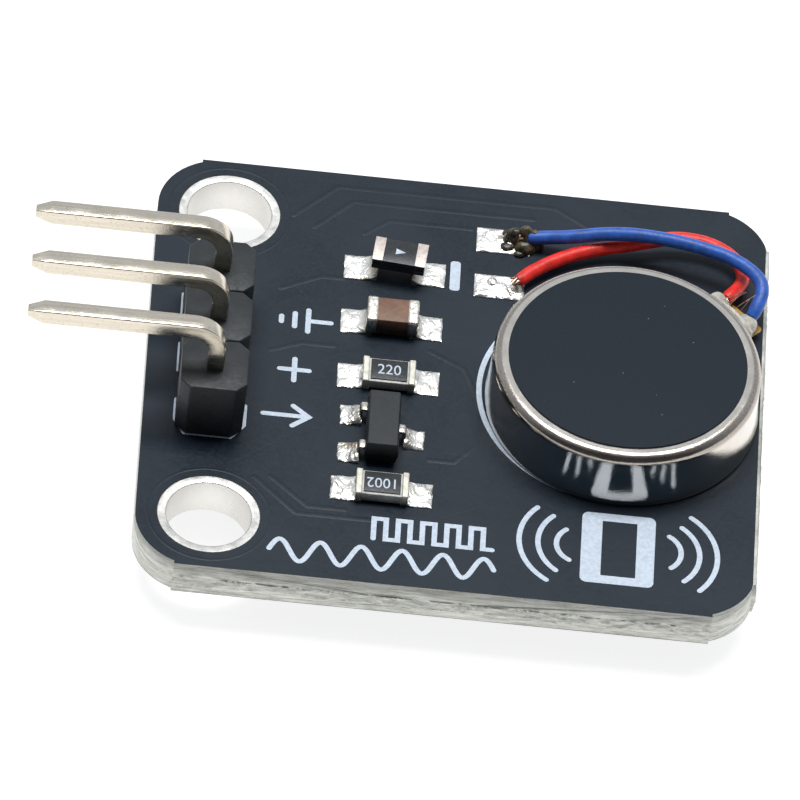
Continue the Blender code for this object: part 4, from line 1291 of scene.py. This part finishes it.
def solder_patch(low, high, part_side, climb, seed, reach=0.42, power=2.0):
    """Solder on one pad: a lumpy skin that climbs towards the part that stands on its part_side edge.

    low and high are the pad's corners, climb is the solder's height against the part, and reach is
    how much of the pad's width the climb takes.
    """
    metal = settings().metal
    shape = bmesh.new()
    bmesh.ops.create_grid(shape, x_segments=44, y_segments=34, size=0.5)
    width = high.x - low.x
    depth = high.y - low.y
    margin = 0.03 * MM
    for corner in shape.verts:
        u = corner.co.x * 2
        v = corner.co.y * 2
        edge = 1.0 - max(abs(u), abs(v)) ** 7
        toward = (u * part_side + 1) / 2
        ragged = margin * noise.noise(Vector((u * 2.2, v * 2.2, seed)))
        spot = Vector((u * width * 0.9 / MM, v * depth * 0.9 / MM, seed * 3.7))
        lumps = noise.noise(spot * 1.4) + 0.5 * abs(noise.noise(spot * 3.1)) + 0.25 * noise.noise(spot * 6.0)
        rise = climb * max(0.0, (toward - 1 + reach) / reach) ** power
        rise *= 1.0 - 0.45 * abs(v) ** 3
        corner.co.x = (low.x + high.x) / 2 + u * (width / 2 - margin) + ragged * (1 - edge) * u
        corner.co.y = (low.y + high.y) / 2 + v * (depth / 2 - margin) + ragged * (1 - edge) * v
        corner.co.z = metal.pad_copper + edge * (0.05 * MM + metal.solder_lumps * lumps) + rise
        corner.co.z = max(corner.co.z, metal.pad_copper * 0.6) + TOP
    return close_foot(shape)


def end_cap(node, name, edge, material):
    """The tinned end of a chip, swelling slightly over the body that it wraps."""
    low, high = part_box(node)
    size = high - low
    shape = block(size, (low + high) / 2, edge, 4)
    long_edges = [e for e in shape.edges if e.calc_length() > 0.25 * MM]
    bmesh.ops.subdivide_edges(shape, edges=long_edges, cuts=3, use_grid_fill=True)
    put(name, lumpy(shape, 0.012 * MM, 2.5, size.x / MM), (material,), [node])


def numerals(name, text, centre, height, upside_down=False):
    """A value printed in plain figures on a resistor's top."""
    curve = bpy.data.curves.new(name, "FONT")
    curve.body = text
    curve.size = height
    curve.align_x = "CENTER"
    curve.align_y = "CENTER"
    curve.extrude = 0.003 * MM
    curve.resolution_u = 4
    shape = bmesh.new()
    absorb_curve(shape, curve)
    turn = Matrix.Rotation(math.pi if upside_down else 0.0, 4, "Z")
    squeeze = Matrix.Diagonal((0.86, 1.0, 1.0, 1.0))
    bmesh.ops.transform(shape, matrix=Matrix.Translation(centre) @ turn @ squeeze, verts=shape.verts)
    put(name, outward(shape), (print_ink(),))


def resistor(place, text, upside_down):
    """A ceramic slab with a black glazed top, between two tinned ends."""
    low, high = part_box(f"{place}_resistor_body")
    size = high - low
    centre = (low + high) / 2
    band = 0.25 * MM
    glaze = 0.03 * MM
    slab_size = (size.x - band, size.y, size.z - glaze)
    shape = block(slab_size, (centre.x, centre.y, centre.z - glaze / 2), 0.03 * MM, 2)
    put(f"{place}_resistor_ceramic", shape, (alumina(),), [f"{place}_resistor_body"])
    glazed_size = (size.x - 2 * band - 0.02 * MM, size.y - 0.16 * MM, glaze * 1.6)
    glazed = block(glazed_size, (centre.x, centre.y + 0.02 * MM, high.z - glaze * 0.3), 0.022 * MM, 3)
    put(f"{place}_resistor_glaze", glazed, (black_glaze(),))
    print_place = (centre.x, centre.y, high.z + glaze * 0.5)
    numerals(f"{place}_resistor_value", text, print_place, 0.7 * MM, upside_down)
    for end in ("left", "right"):
        end_cap(f"{place}_resistor_end_{end}", f"{place}_resistor_cap_{end}", 0.05 * MM, matt_cap())


class VIBRATION_OT_chips(Operator):
    """Two resistors, a capacitor and a diode"""

    bl_idname = "vibration.chips"
    bl_label = "Chips"

    def execute(self, context):
        resistor("upper", "220", False)
        resistor("lower", "1002", True)
        low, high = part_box("capacitor_body")
        size = high - low
        shape = block((size.x - 0.5 * MM, size.y, size.z), (low + high) / 2, 0.04 * MM, 3)
        put("capacitor_ceramic", shape, (brown_ceramic(),), ["capacitor_body"])
        self.diode()
        for end in ("left", "right"):
            end_cap(f"capacitor_end_{end}", f"capacitor_cap_{end}", 0.11 * MM, tinned_cap())
        return {"FINISHED"}

    def diode(self):
        """A thin dark plate in layers, with a pale arrow and a tinned band at each end of its top."""
        low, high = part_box("diode_body")
        centre = (low + high) / 2
        turn = Matrix.Rotation(math.radians(DIODE_TURN), 4, "Z")
        place = Matrix.Translation((centre.x, centre.y, 0.0)) @ turn
        wide = 1.98
        deep = 1.16
        layers = ((wide, deep, 2.11, 2.30), (wide - 0.05, deep - 0.04, 2.29, 2.36), (wide, deep, 2.35, 2.58))
        shape = bmesh.new()
        for across, along, foot, top in layers:
            size = in_mm([(across, along, top - foot)])[0]
            absorb(shape, block(size, (0.0, 0.0, (foot + top) * MM / 2), 0.02 * MM, 2))
        bmesh.ops.transform(shape, matrix=place, verts=shape.verts)
        put("diode_plate", outward(shape), (black_glaze(),), ["diode_body"])
        mark = in_mm([(-0.17, -0.15), (0.2, 0.0), (-0.17, 0.15)])
        arrow = slab(mark, high.z - 0.006 * MM, high.z + 0.03 * MM)
        bmesh.ops.transform(arrow, matrix=place, verts=arrow.verts)
        put("diode_arrow", arrow, (print_ink(),))
        for end, side in (("left", -1), ("right", 1)):
            band = block((0.40 * MM, (deep + 0.03) * MM, 0.04 * MM), (0.0, 0.0, 0.0), 0.012 * MM, 2)
            offset = Vector((side * (wide / 2 - 0.19), 0.0, 2.585)) * MM
            bmesh.ops.translate(band, verts=band.verts, vec=offset)
            bmesh.ops.transform(band, matrix=place, verts=band.verts)
            put(f"diode_band_{end}", band, (diode_band(),), [f"diode_end_{end}"])


class VIBRATION_OT_chip_solder(Operator):
    """Solder on the chips' and the transistor's pads"""

    bl_idname = "vibration.chip_solder"
    bl_label = "Chip solder"

    def execute(self, context):
        parts = (("diode", 0.5), ("capacitor", 0.55), ("upper_resistor", 0.36), ("lower_resistor", 0.36))
        seed = 1.0
        for part, climb in parts:
            for end, side in (("left", 1), ("right", -1)):
                node = f"{part}_solder_{end}"
                low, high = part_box(node)
                patch = solder_patch(low, high, side, climb * MM, seed, 0.55)
                put(f"{part}_joint_{end}", patch, (solder(),), [node])
                seed += 1.7
        for lead, side in (("front", 1), ("back", 1), ("right", -1)):
            node = f"transistor_solder_{lead}"
            low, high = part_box(node)
            patch = solder_patch(low, high, side, 0.26 * MM, seed, 0.62, 1.1)
            put(f"transistor_joint_{lead}", patch, (solder(),), [node])
            seed += 1.7
        return {"FINISHED"}


class VIBRATION_OT_transistor(Operator):
    """The three-lead transistor"""

    bl_idname = "vibration.transistor"
    bl_label = "Transistor"

    def execute(self, context):
        low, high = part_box("transistor_body")
        size = high - low
        centre = (low + high) / 2
        draft = 0.1 * MM
        shape = bmesh.new()
        bmesh.ops.create_cube(shape, size=1.0, matrix=Matrix.Diagonal((*size, 1.0)))
        everything = shape.verts[:] + shape.edges[:] + shape.faces[:]
        bmesh.ops.bisect_plane(shape, geom=everything, plane_co=(0, 0, 0), plane_no=(0, 0, 1))
        for corner in shape.verts:
            if abs(corner.co.z) > size.z / 4:
                corner.co.x -= math.copysign(draft, corner.co.x)
                corner.co.y -= math.copysign(draft, corner.co.y)
        soften(shape, 0.035 * MM, 3, 5.0)
        bmesh.ops.translate(shape, verts=shape.verts, vec=centre)
        put("transistor_moulding", outward(shape), (moulded_epoxy(),), ["transistor_body"])
        for lead in ("front", "back", "right"):
            self.lead(lead)
        return {"FINISHED"}

    def lead(self, lead):
        """One gull-wing lead: out of the body, down, and flat along its pad."""
        node = f"transistor_lead_{lead}"
        low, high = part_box(node)
        side = 1 if lead == "right" else -1
        root = low.x if side > 0 else high.x
        toe = root + side * 0.4 * MM
        sheet = 0.13 * MM
        upper = high.z - sheet / 2
        lower = low.z + sheet / 2
        knee = abs(toe - root) * 0.42
        bend = 0.08 * MM
        shoulder = arc(knee - bend, upper - bend, bend, 90, 0, 6)
        heel = arc(knee + bend, lower + bend, bend, 180, 270, 6)
        path = [(-0.1 * MM, upper)] + pairs(shoulder + heel) + [(abs(toe - root), lower)]
        path = [(side * x, z) for x, z in path]
        place = (root, (low.y + high.y) / 2, 0.0)
        shape = bent_sheet(path, sheet, (high.y - low.y) * 0.9, place, 0.015 * MM)
        put(f"transistor_leg_{lead}", shape, (tinned_cap(),), [node])


# ---------------------------------------------------------------- motor


def motor_place(angle, distance, height):
    """A point round the motor: degrees, distance from its axis, height over the board."""
    turn = math.radians(angle)
    return Vector((MOTOR.x + distance * math.cos(turn), MOTOR.y + distance * math.sin(turn), TOP + height))


def carve(item, cutter):
    """Cuts one piece by another object, which is then deleted."""
    modifier = item.modifiers.new("cut", "BOOLEAN")
    modifier.operation = "DIFFERENCE"
    modifier.solver = "EXACT"
    modifier.object = cutter
    bpy.context.view_layer.update()
    evaluated = item.evaluated_get(bpy.context.evaluated_depsgraph_get())
    cut_mesh = bpy.data.meshes.new_from_object(evaluated)
    item.modifiers.clear()
    item.data = cut_mesh
    bpy.data.objects.remove(cutter, do_unlink=True)


class VIBRATION_OT_motor_shell(Operator):
    """The drawn case with its slot, the top sticker, the base and the pad under it"""

    bl_idname = "vibration.motor_shell"
    bl_label = "Motor shell"

    def execute(self, context):
        motor = settings().motor
        radius = MOTOR_RADIUS
        top = CASE_HIGH.z
        base = CASE_LOW.z
        inner = radius - motor.wall
        bend = motor.shoulder
        inner_bend = bend - motor.wall
        lip = 0.03 * MM
        foot = base - 0.05 * MM
        flare = [(0.0, 1.6), (0.02, 1.1), (0.055, 0.6), (0.10, 0.25), (0.13, 0.08), (0.10, 0.0)]
        profile = [(0.0, top)] + pairs(arc(radius - bend, top - bend, bend, 90, 0, 16))
        profile += [(radius + out * MM, foot + up * MM) for out, up in flare]
        profile += [(inner + lip, foot), (inner, foot + lip)]
        profile += pairs(arc(inner - inner_bend, top - motor.wall - inner_bend, inner_bend, 0, 90, 8))
        profile += [(0.0, top - motor.wall)]
        shape = turned(profile, MOTOR, 192)
        case = put("drawn_case", shape, (case_nickel(),), ["motor_case"])
        carve(case, self.slot(motor.wall))
        smooth(case, 50.0)
        low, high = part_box("motor_sticker")
        film = (high.x - low.x) / 2
        edge = (high.z - low.z) * 0.6
        rim = pairs(arc(film - edge, high.z - edge, edge, 90, 0, 5))
        profile = [(0.0, high.z)] + rim + [(film, low.z), (0.0, low.z)]
        put("top_sticker", turned(profile, MOTOR, 160), (sticker_film(),), ["motor_sticker"])
        restyle("motor_base", case_nickel())
        restyle("adhesive_pad", foam_pad())
        return {"FINISHED"}

    def slot(self, wall):
        """The block that cuts the tab's slot in the case."""
        clearance = 0.02 * MM
        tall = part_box("motor_flex")[1].z - CASE_LOW.z + 2 * clearance
        middle = motor_place(TAB_ANGLE, MOTOR_RADIUS - wall / 2, CASE_LOW.z - TOP + tall / 2 - clearance)
        return loose("slot", block((4 * wall, 2.24 * MM, tall), middle, 0.02 * MM, 1, TAB_ANGLE))


class VIBRATION_OT_motor_inside(Operator):
    """Finishes of the pieces inside the motor"""

    bl_idname = "vibration.motor_inside"
    bl_label = "Motor inside"

    def execute(self, context):
        finishes = {
            "motor_shaft": ground_steel, "ring_magnet": sintered_magnet, "thrust_washer": washer_film,
            "brush_left": spring_bronze, "brush_right": spring_bronze, "rotor_bearing": sintered_bronze,
            "rotor_board": rotor_laminate, "rotor_moulding": rotor_resin, "counterweight": tungsten,
            "rotor_coil_left": copper_winding, "rotor_coil_right": copper_winding,
        }
        for node, make in finishes.items():
            restyle(node, make())
        self.flex()
        return {"FINISHED"}

    def flex(self):
        """The amber film: a disc inside the motor, with a tab whose end is cut askew."""
        low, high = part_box("motor_flex")
        disc = 4.3
        half_tab = 1.1
        start = math.degrees(math.asin(half_tab / disc))
        outline = arc(0.0, 0.0, disc, start, 360 - start, 72)
        outline += [Vector((4.95, -half_tab)), Vector((5.2, -0.78))]
        outline += arc(6.51, -0.66, 0.08, -90, 0, 4) + arc(6.34, 0.85, 0.25, 0, 90, 6)
        shape = slab(in_mm(outline), low.z, high.z, [in_mm(circle(0.0, 0.0, 0.45, 32))])
        place = Matrix.Translation(MOTOR) @ Matrix.Rotation(math.radians(TAB_ANGLE), 4, "Z")
        bmesh.ops.transform(shape, matrix=place, verts=shape.verts)
        put("flex_film", shape, (amber_film(),), ["motor_flex"])


# ---------------------------------------------------------------- leads


def strands(points, radius, spread, turns):
    """Seven fine strands laid round the line through points, opening by spread at the far end."""
    shape = bmesh.new()
    count = len(points)
    for k in range(7):
        path = []
        for i, point in enumerate(points):
            share = i / (count - 1)
            along = (points[min(i + 1, count - 1)] - points[max(i - 1, 0)]).normalized()
            across = along.cross(Vector((0.0, 0.0, 1.0))).normalized()
            upward = across.cross(along)
            angle = math.tau * (k / 6 + turns * share)
            orbit = 0.0 if k == 6 else radius * 2 * (1 + spread * share)
            path.append(point + (across * math.cos(angle) + upward * math.sin(angle)) * orbit)
        add_wire(shape, path, radius, None, 1)
    return outward(shape)


def insulated_lead(name, route, material, bare):
    """Soft insulation along a route, with bare strands at both ends; bare counts the steps at the board."""
    motor = settings().motor
    chosen = [motor_place(angle, MOTOR_RADIUS + gap * MM, height * MM) for angle, gap, height in route]
    points = smooth_route(chosen, ROUTE_STEP)
    covered = points[bare:-TAB_BARE]
    count = len(covered)
    shares = [1.0 - 0.16 * max(0.0, 1 - min(i, count - 1 - i) / 2) for i in range(count)]
    shape = wire(covered, motor.lead_diameter / 2, shares, 6)
    lumpy(shape, 0.012 * MM, 1.1, len(route))
    put(f"{name}_insulation", shape, (material,), [f"{name}_lead"])
    fine = motor.strand_diameter / 2
    start = points[bare + 3::-1]
    put(f"{name}_strands_board", strands(start, fine, 0.5, 0.4), (tinned_strand(),))
    stop = points[-TAB_BARE - 4:]
    put(f"{name}_strands_tab", strands(stop, fine, 0.4, 0.4), (tinned_strand(),))


def solder_heap(low, high, seed, peak, bumps):
    """A heap of solder on a long pad, with drops standing on it."""
    shape = bmesh.new()
    bmesh.ops.create_grid(shape, x_segments=60, y_segments=46, size=0.5)
    width = high.x - low.x
    depth = high.y - low.y
    for corner in shape.verts:
        u = corner.co.x * 2
        v = corner.co.y * 2
        edge = 1.0 - max(abs(u), abs(v)) ** 8
        spot = Vector((u * width / MM, v * depth / MM, seed))
        lumps = noise.noise(spot * 1.6) + 0.6 * abs(noise.noise(spot * 3.3)) + 0.25 * noise.noise(spot * 7.0)
        heap = 0.0
        for x, y, wide, tall in bumps:
            apart = Vector(((u - x) * width / 2, (v - y) * depth / 2)).length_squared
            heap += tall * max(0.0, 1 - apart / wide ** 2) ** 0.7
        corner.co.x = (low.x + high.x) / 2 + u * width / 2
        corner.co.y = (low.y + high.y) / 2 + v * depth / 2
        corner.co.z = TOP + 0.03 * MM + edge * min(peak, max(0.0, 0.06 * MM + 0.05 * MM * lumps + heap))
    return close_foot(shape)


class VIBRATION_OT_leads(Operator):
    """The motor's two leads, with their solder at both ends and the glue on the tab"""

    bl_idname = "vibration.leads"
    bl_label = "Leads"

    def execute(self, context):
        insulated_lead("red", RED_ROUTE, red_insulation(), 2)
        insulated_lead("blue", BLUE_ROUTE, blue_insulation(), 5)
        bumps = {
            "red": ((0.75, 0.0, 0.26 * MM, 0.34 * MM), (-0.3, 0.3, 0.2 * MM, 0.1 * MM)),
            "blue": ((0.7, 0.0, 0.3 * MM, 0.4 * MM), (0.25, -0.3, 0.2 * MM, 0.16 * MM)),
        }
        for name, seed in (("red", 3.0), ("blue", 11.0)):
            heap = solder_heap(*in_mm(WIRE_PADS[name]), seed, 0.46 * MM, bumps[name])
            put(f"{name}_board_joint", heap, (solder(),), [f"lead_solder_{name}"])
            put(f"{name}_tab_joint", self.dome(name, seed), (solder(),), [f"tab_solder_{name}"])
        self.flux_lumps()
        self.glue()
        self.hairs()
        return {"FINISHED"}

    def dome(self, name, seed):
        """The round joint of one lead on the tab."""
        low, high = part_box(f"tab_solder_{name}")
        radius = (high.x - low.x) / 2
        tall = high.z - low.z
        turns = [math.pi / 2 * i / 10 for i in range(11)]
        profile = [(radius * math.sin(turn), low.z + tall * math.cos(turn)) for turn in turns]
        profile.append((0.0, low.z))
        return lumpy(turned(profile, (low + high) / 2, 32), 0.03 * MM, 2.2, seed, low.z + SAME)

    def flux_lumps(self):
        """Burnt flux round the blue lead's joint on the board: place on the pad, width and height in mm."""
        low, high = in_mm(WIRE_PADS["blue"])
        spots = (
            (0.70, 0.1, 0.44, 0.66), (0.90, 0.05, 0.42, 0.82), (0.90, -0.45, 0.42, 0.36),
            (0.56, -0.5, 0.26, 0.2), (0.60, 0.62, 0.26, 0.2), (1.06, -0.1, 0.36, 0.76),
            (0.80, -0.95, 0.2, 0.1),
        )
        shape = bmesh.new()
        for i, (u, v, wide, tall) in enumerate(spots):
            x = low.x + (high.x - low.x) * u
            y = (low.y + high.y) / 2 + (high.y - low.y) / 2 * v
            size = Vector((wide, wide * 0.85, tall)) * MM
            add_drop(shape, (x, y, TOP + 0.06 * MM), size, 0.05 * MM, i + 2.0)
        for corner in shape.verts:
            corner.co.z = max(corner.co.z, TOP + 0.002 * MM)
        put("burnt_flux", outward(shape), (flux(),))

    def glue(self):
        """Clear glue: a bead along the case, and a drop over each lead's end."""
        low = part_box("tab_glue")[0].z
        count = 26
        points = [motor_place(34.0 + i, MOTOR_RADIUS + 0.42 * MM, -TOP) for i in range(count)]
        shares = [0.4 + 0.6 * math.sin(math.pi * (i + 0.5) / count) ** 0.5 for i in range(count)]
        shape = wire(points, 0.36 * MM, shares, 8)
        bmesh.ops.scale(shape, vec=(1.0, 1.0, 2.1), verts=shape.verts)
        bmesh.ops.translate(shape, vec=(0.0, 0.0, low + 0.62 * MM), verts=shape.verts)
        lumpy(shape, 0.1 * MM, 0.9, 5.0)
        for angle, half in ((56.5, 0.48), (42.8, 0.46)):
            place = motor_place(angle, MOTOR_RADIUS + 1.06 * MM, 0.56 * MM)
            add_drop(shape, place, Vector((half, half, half)) * MM, 0.08 * MM, angle)
        for corner in shape.verts:
            corner.co.z = max(corner.co.z, low)
        put("glue_bead", outward(shape), (clear_glue(),), ["tab_glue"])

    def hairs(self):
        """Fine broken strands that stand out of the joint on the tab."""
        shape = bmesh.new()
        roots = ((52.0, 6.0, 0.9), (50.0, 6.2, 1.2), (54.0, 5.9, 1.5), (48.0, 6.3, 0.7), (56.0, 6.1, 2.0))
        for angle, reach, lean in roots:
            path = []
            for i in range(9):
                share = i / 8
                curl = math.sin(lean * 3 + share * 3.2) * 0.25
                distance = (reach + (0.35 + curl) * share) * MM
                path.append(motor_place(angle - lean * 4 * share, distance, (0.75 + 0.9 * share) * MM))
            add_wire(shape, path, 0.014 * MM, None, 1)
        put("stray_strands", outward(shape), (tinned_strand(),))


# ---------------------------------------------------------------- stage


def area_lamp(name, place, target, size, power):
    lamp = bpy.data.lights.new(name, "AREA")
    lamp.shape = "RECTANGLE"
    lamp.size = size[0]
    lamp.size_y = size[1]
    lamp.energy = power
    item = bpy.data.objects.new(name, lamp)
    bpy.context.scene.collection.objects.link(item)
    item.location = place
    item.rotation_euler = (Vector(target) - Vector(place)).to_track_quat("-Z", "Y").to_euler()


def studio_world():
    """Pale to look at; in reflections bright behind the object and dark in front of it."""
    world = bpy.data.worlds.new("studio")
    bpy.context.scene.world = world
    world.use_nodes = True
    nodes = world.node_tree.nodes
    links = world.node_tree.links
    background = nodes["Background"]
    direction = nodes.new("ShaderNodeTexCoord").outputs["Generated"]
    parts = nodes.new("ShaderNodeSeparateXYZ")
    links.new(direction, parts.inputs[0])
    ramp = nodes.new("ShaderNodeValToRGB")
    links.new(parts.outputs["Z"], ramp.inputs["Fac"])
    stops = ((0.0, 0.55), (0.4, 0.6), (0.7, 0.55), (0.86, 0.5), (1.0, 0.7))
    while len(ramp.color_ramp.elements) < len(stops):
        ramp.color_ramp.elements.new(0.5)
    for element, (place, value) in zip(ramp.color_ramp.elements, stops):
        element.position = place
        element.color = (value * 0.94, value, value * 1.07, 1.0)
    pale = nodes.new("ShaderNodeBackground")
    pale.inputs["Color"].default_value = (0.92, 0.92, 0.92, 1.0)
    sight = nodes.new("ShaderNodeLightPath").outputs["Is Camera Ray"]
    chosen = nodes.new("ShaderNodeMixShader")
    behind = nodes.new("ShaderNodeMapRange")
    for key, value in (("From Min", -0.5), ("From Max", 0.45), ("To Min", 0.12), ("To Max", 1.1)):
        behind.inputs[key].default_value = value
    links.new(parts.outputs["Y"], behind.inputs["Value"])
    links.new(behind.outputs["Result"], background.inputs["Strength"])
    links.new(ramp.outputs["Color"], background.inputs["Color"])
    links.new(sight, chosen.inputs[0])
    links.new(background.outputs[0], chosen.inputs[1])
    links.new(pale.outputs[0], chosen.inputs[2])
    links.new(chosen.outputs[0], nodes["World Output"].inputs["Surface"])


def floor_finish():
    base = settings().stage.floor_colour[:]
    made = Finish("pale_floor", base, 0.9)
    made.colour(made.mix(made.noise(0.02, 3.0), shade(base, 0.985), base))
    made.feed(made.shader, {"Emission Color": (1.0, 1.0, 1.0), "Emission Strength": 0.86})
    return made.material


class VIBRATION_OT_stage(Operator):
    """Pale floor, soft lamps and the camera"""

    bl_idname = "vibration.stage"
    bl_label = "Stage"

    def execute(self, context):
        stage = settings().stage
        shape = bmesh.new()
        bmesh.ops.create_grid(shape, x_segments=2, y_segments=2, size=stage.floor_size / 2)
        floor = loose("floor", shape, (floor_finish(),))
        floor.location.z = CAD_BOX[0][2]
        studio_world()
        area_lamp("softbox", (0.0, 0.12, 0.48), (0.0, 0.0, 0.0), (0.40, 0.17), stage.softbox_power)
        self.camera(context, stage)
        return {"FINISHED"}

    def camera(self, context, stage):
        data = bpy.data.cameras.new("camera")
        data.lens = stage.focal_length
        data.sensor_width = 36.0
        data.clip_start = 0.01
        item = bpy.data.objects.new("camera", data)
        context.scene.collection.objects.link(item)
        item.location = Vector(stage.camera_place) + Vector((0.0, 0.0, TOP))
        item.rotation_euler = stage.camera_turn
        context.scene.camera = item
        context.scene.view_settings.view_transform = "Standard"


class VIBRATION_PT_panel(Panel):
    """Lists the operators that build the module"""

    bl_idname = "VIBRATION_PT_panel"
    bl_label = "Vibration module"
    bl_space_type = "VIEW_3D"
    bl_region_type = "UI"
    bl_category = "Vibration Module"

    def draw(self, context):
        for operator in OPERATORS:
            self.layout.operator(operator.bl_idname)
        for group in ("board", "metal", "motor", "stage"):
            chosen = getattr(context.scene.vibration_module, group)
            box = self.layout.box()
            for key in chosen.__annotations__:
                box.prop(chosen, key)


OPERATORS = (
    VIBRATION_OT_board,
    VIBRATION_OT_print,
    VIBRATION_OT_screw_barrels,
    VIBRATION_OT_header,
    VIBRATION_OT_chips,
    VIBRATION_OT_chip_solder,
    VIBRATION_OT_transistor,
    VIBRATION_OT_motor_shell,
    VIBRATION_OT_motor_inside,
    VIBRATION_OT_leads,
    VIBRATION_OT_stage,
)
CLASSES = (
    BoardSettings,
    MetalSettings,
    MotorSettings,
    StageSettings,
    ModuleSettings,
    *OPERATORS,
    VIBRATION_PT_panel,
)


def register():
    for item in CLASSES:
        bpy.utils.register_class(item)
    bpy.types.Scene.vibration_module = PointerProperty(type=ModuleSettings)


def unregister():
    del bpy.types.Scene.vibration_module
    for item in reversed(CLASSES):
        bpy.utils.unregister_class(item)


def main():
    register()
    for operator in OPERATORS:
        group, name = operator.bl_idname.split(".")
        getattr(getattr(bpy.ops, group), name)()


if __name__ == "__main__":
    main()
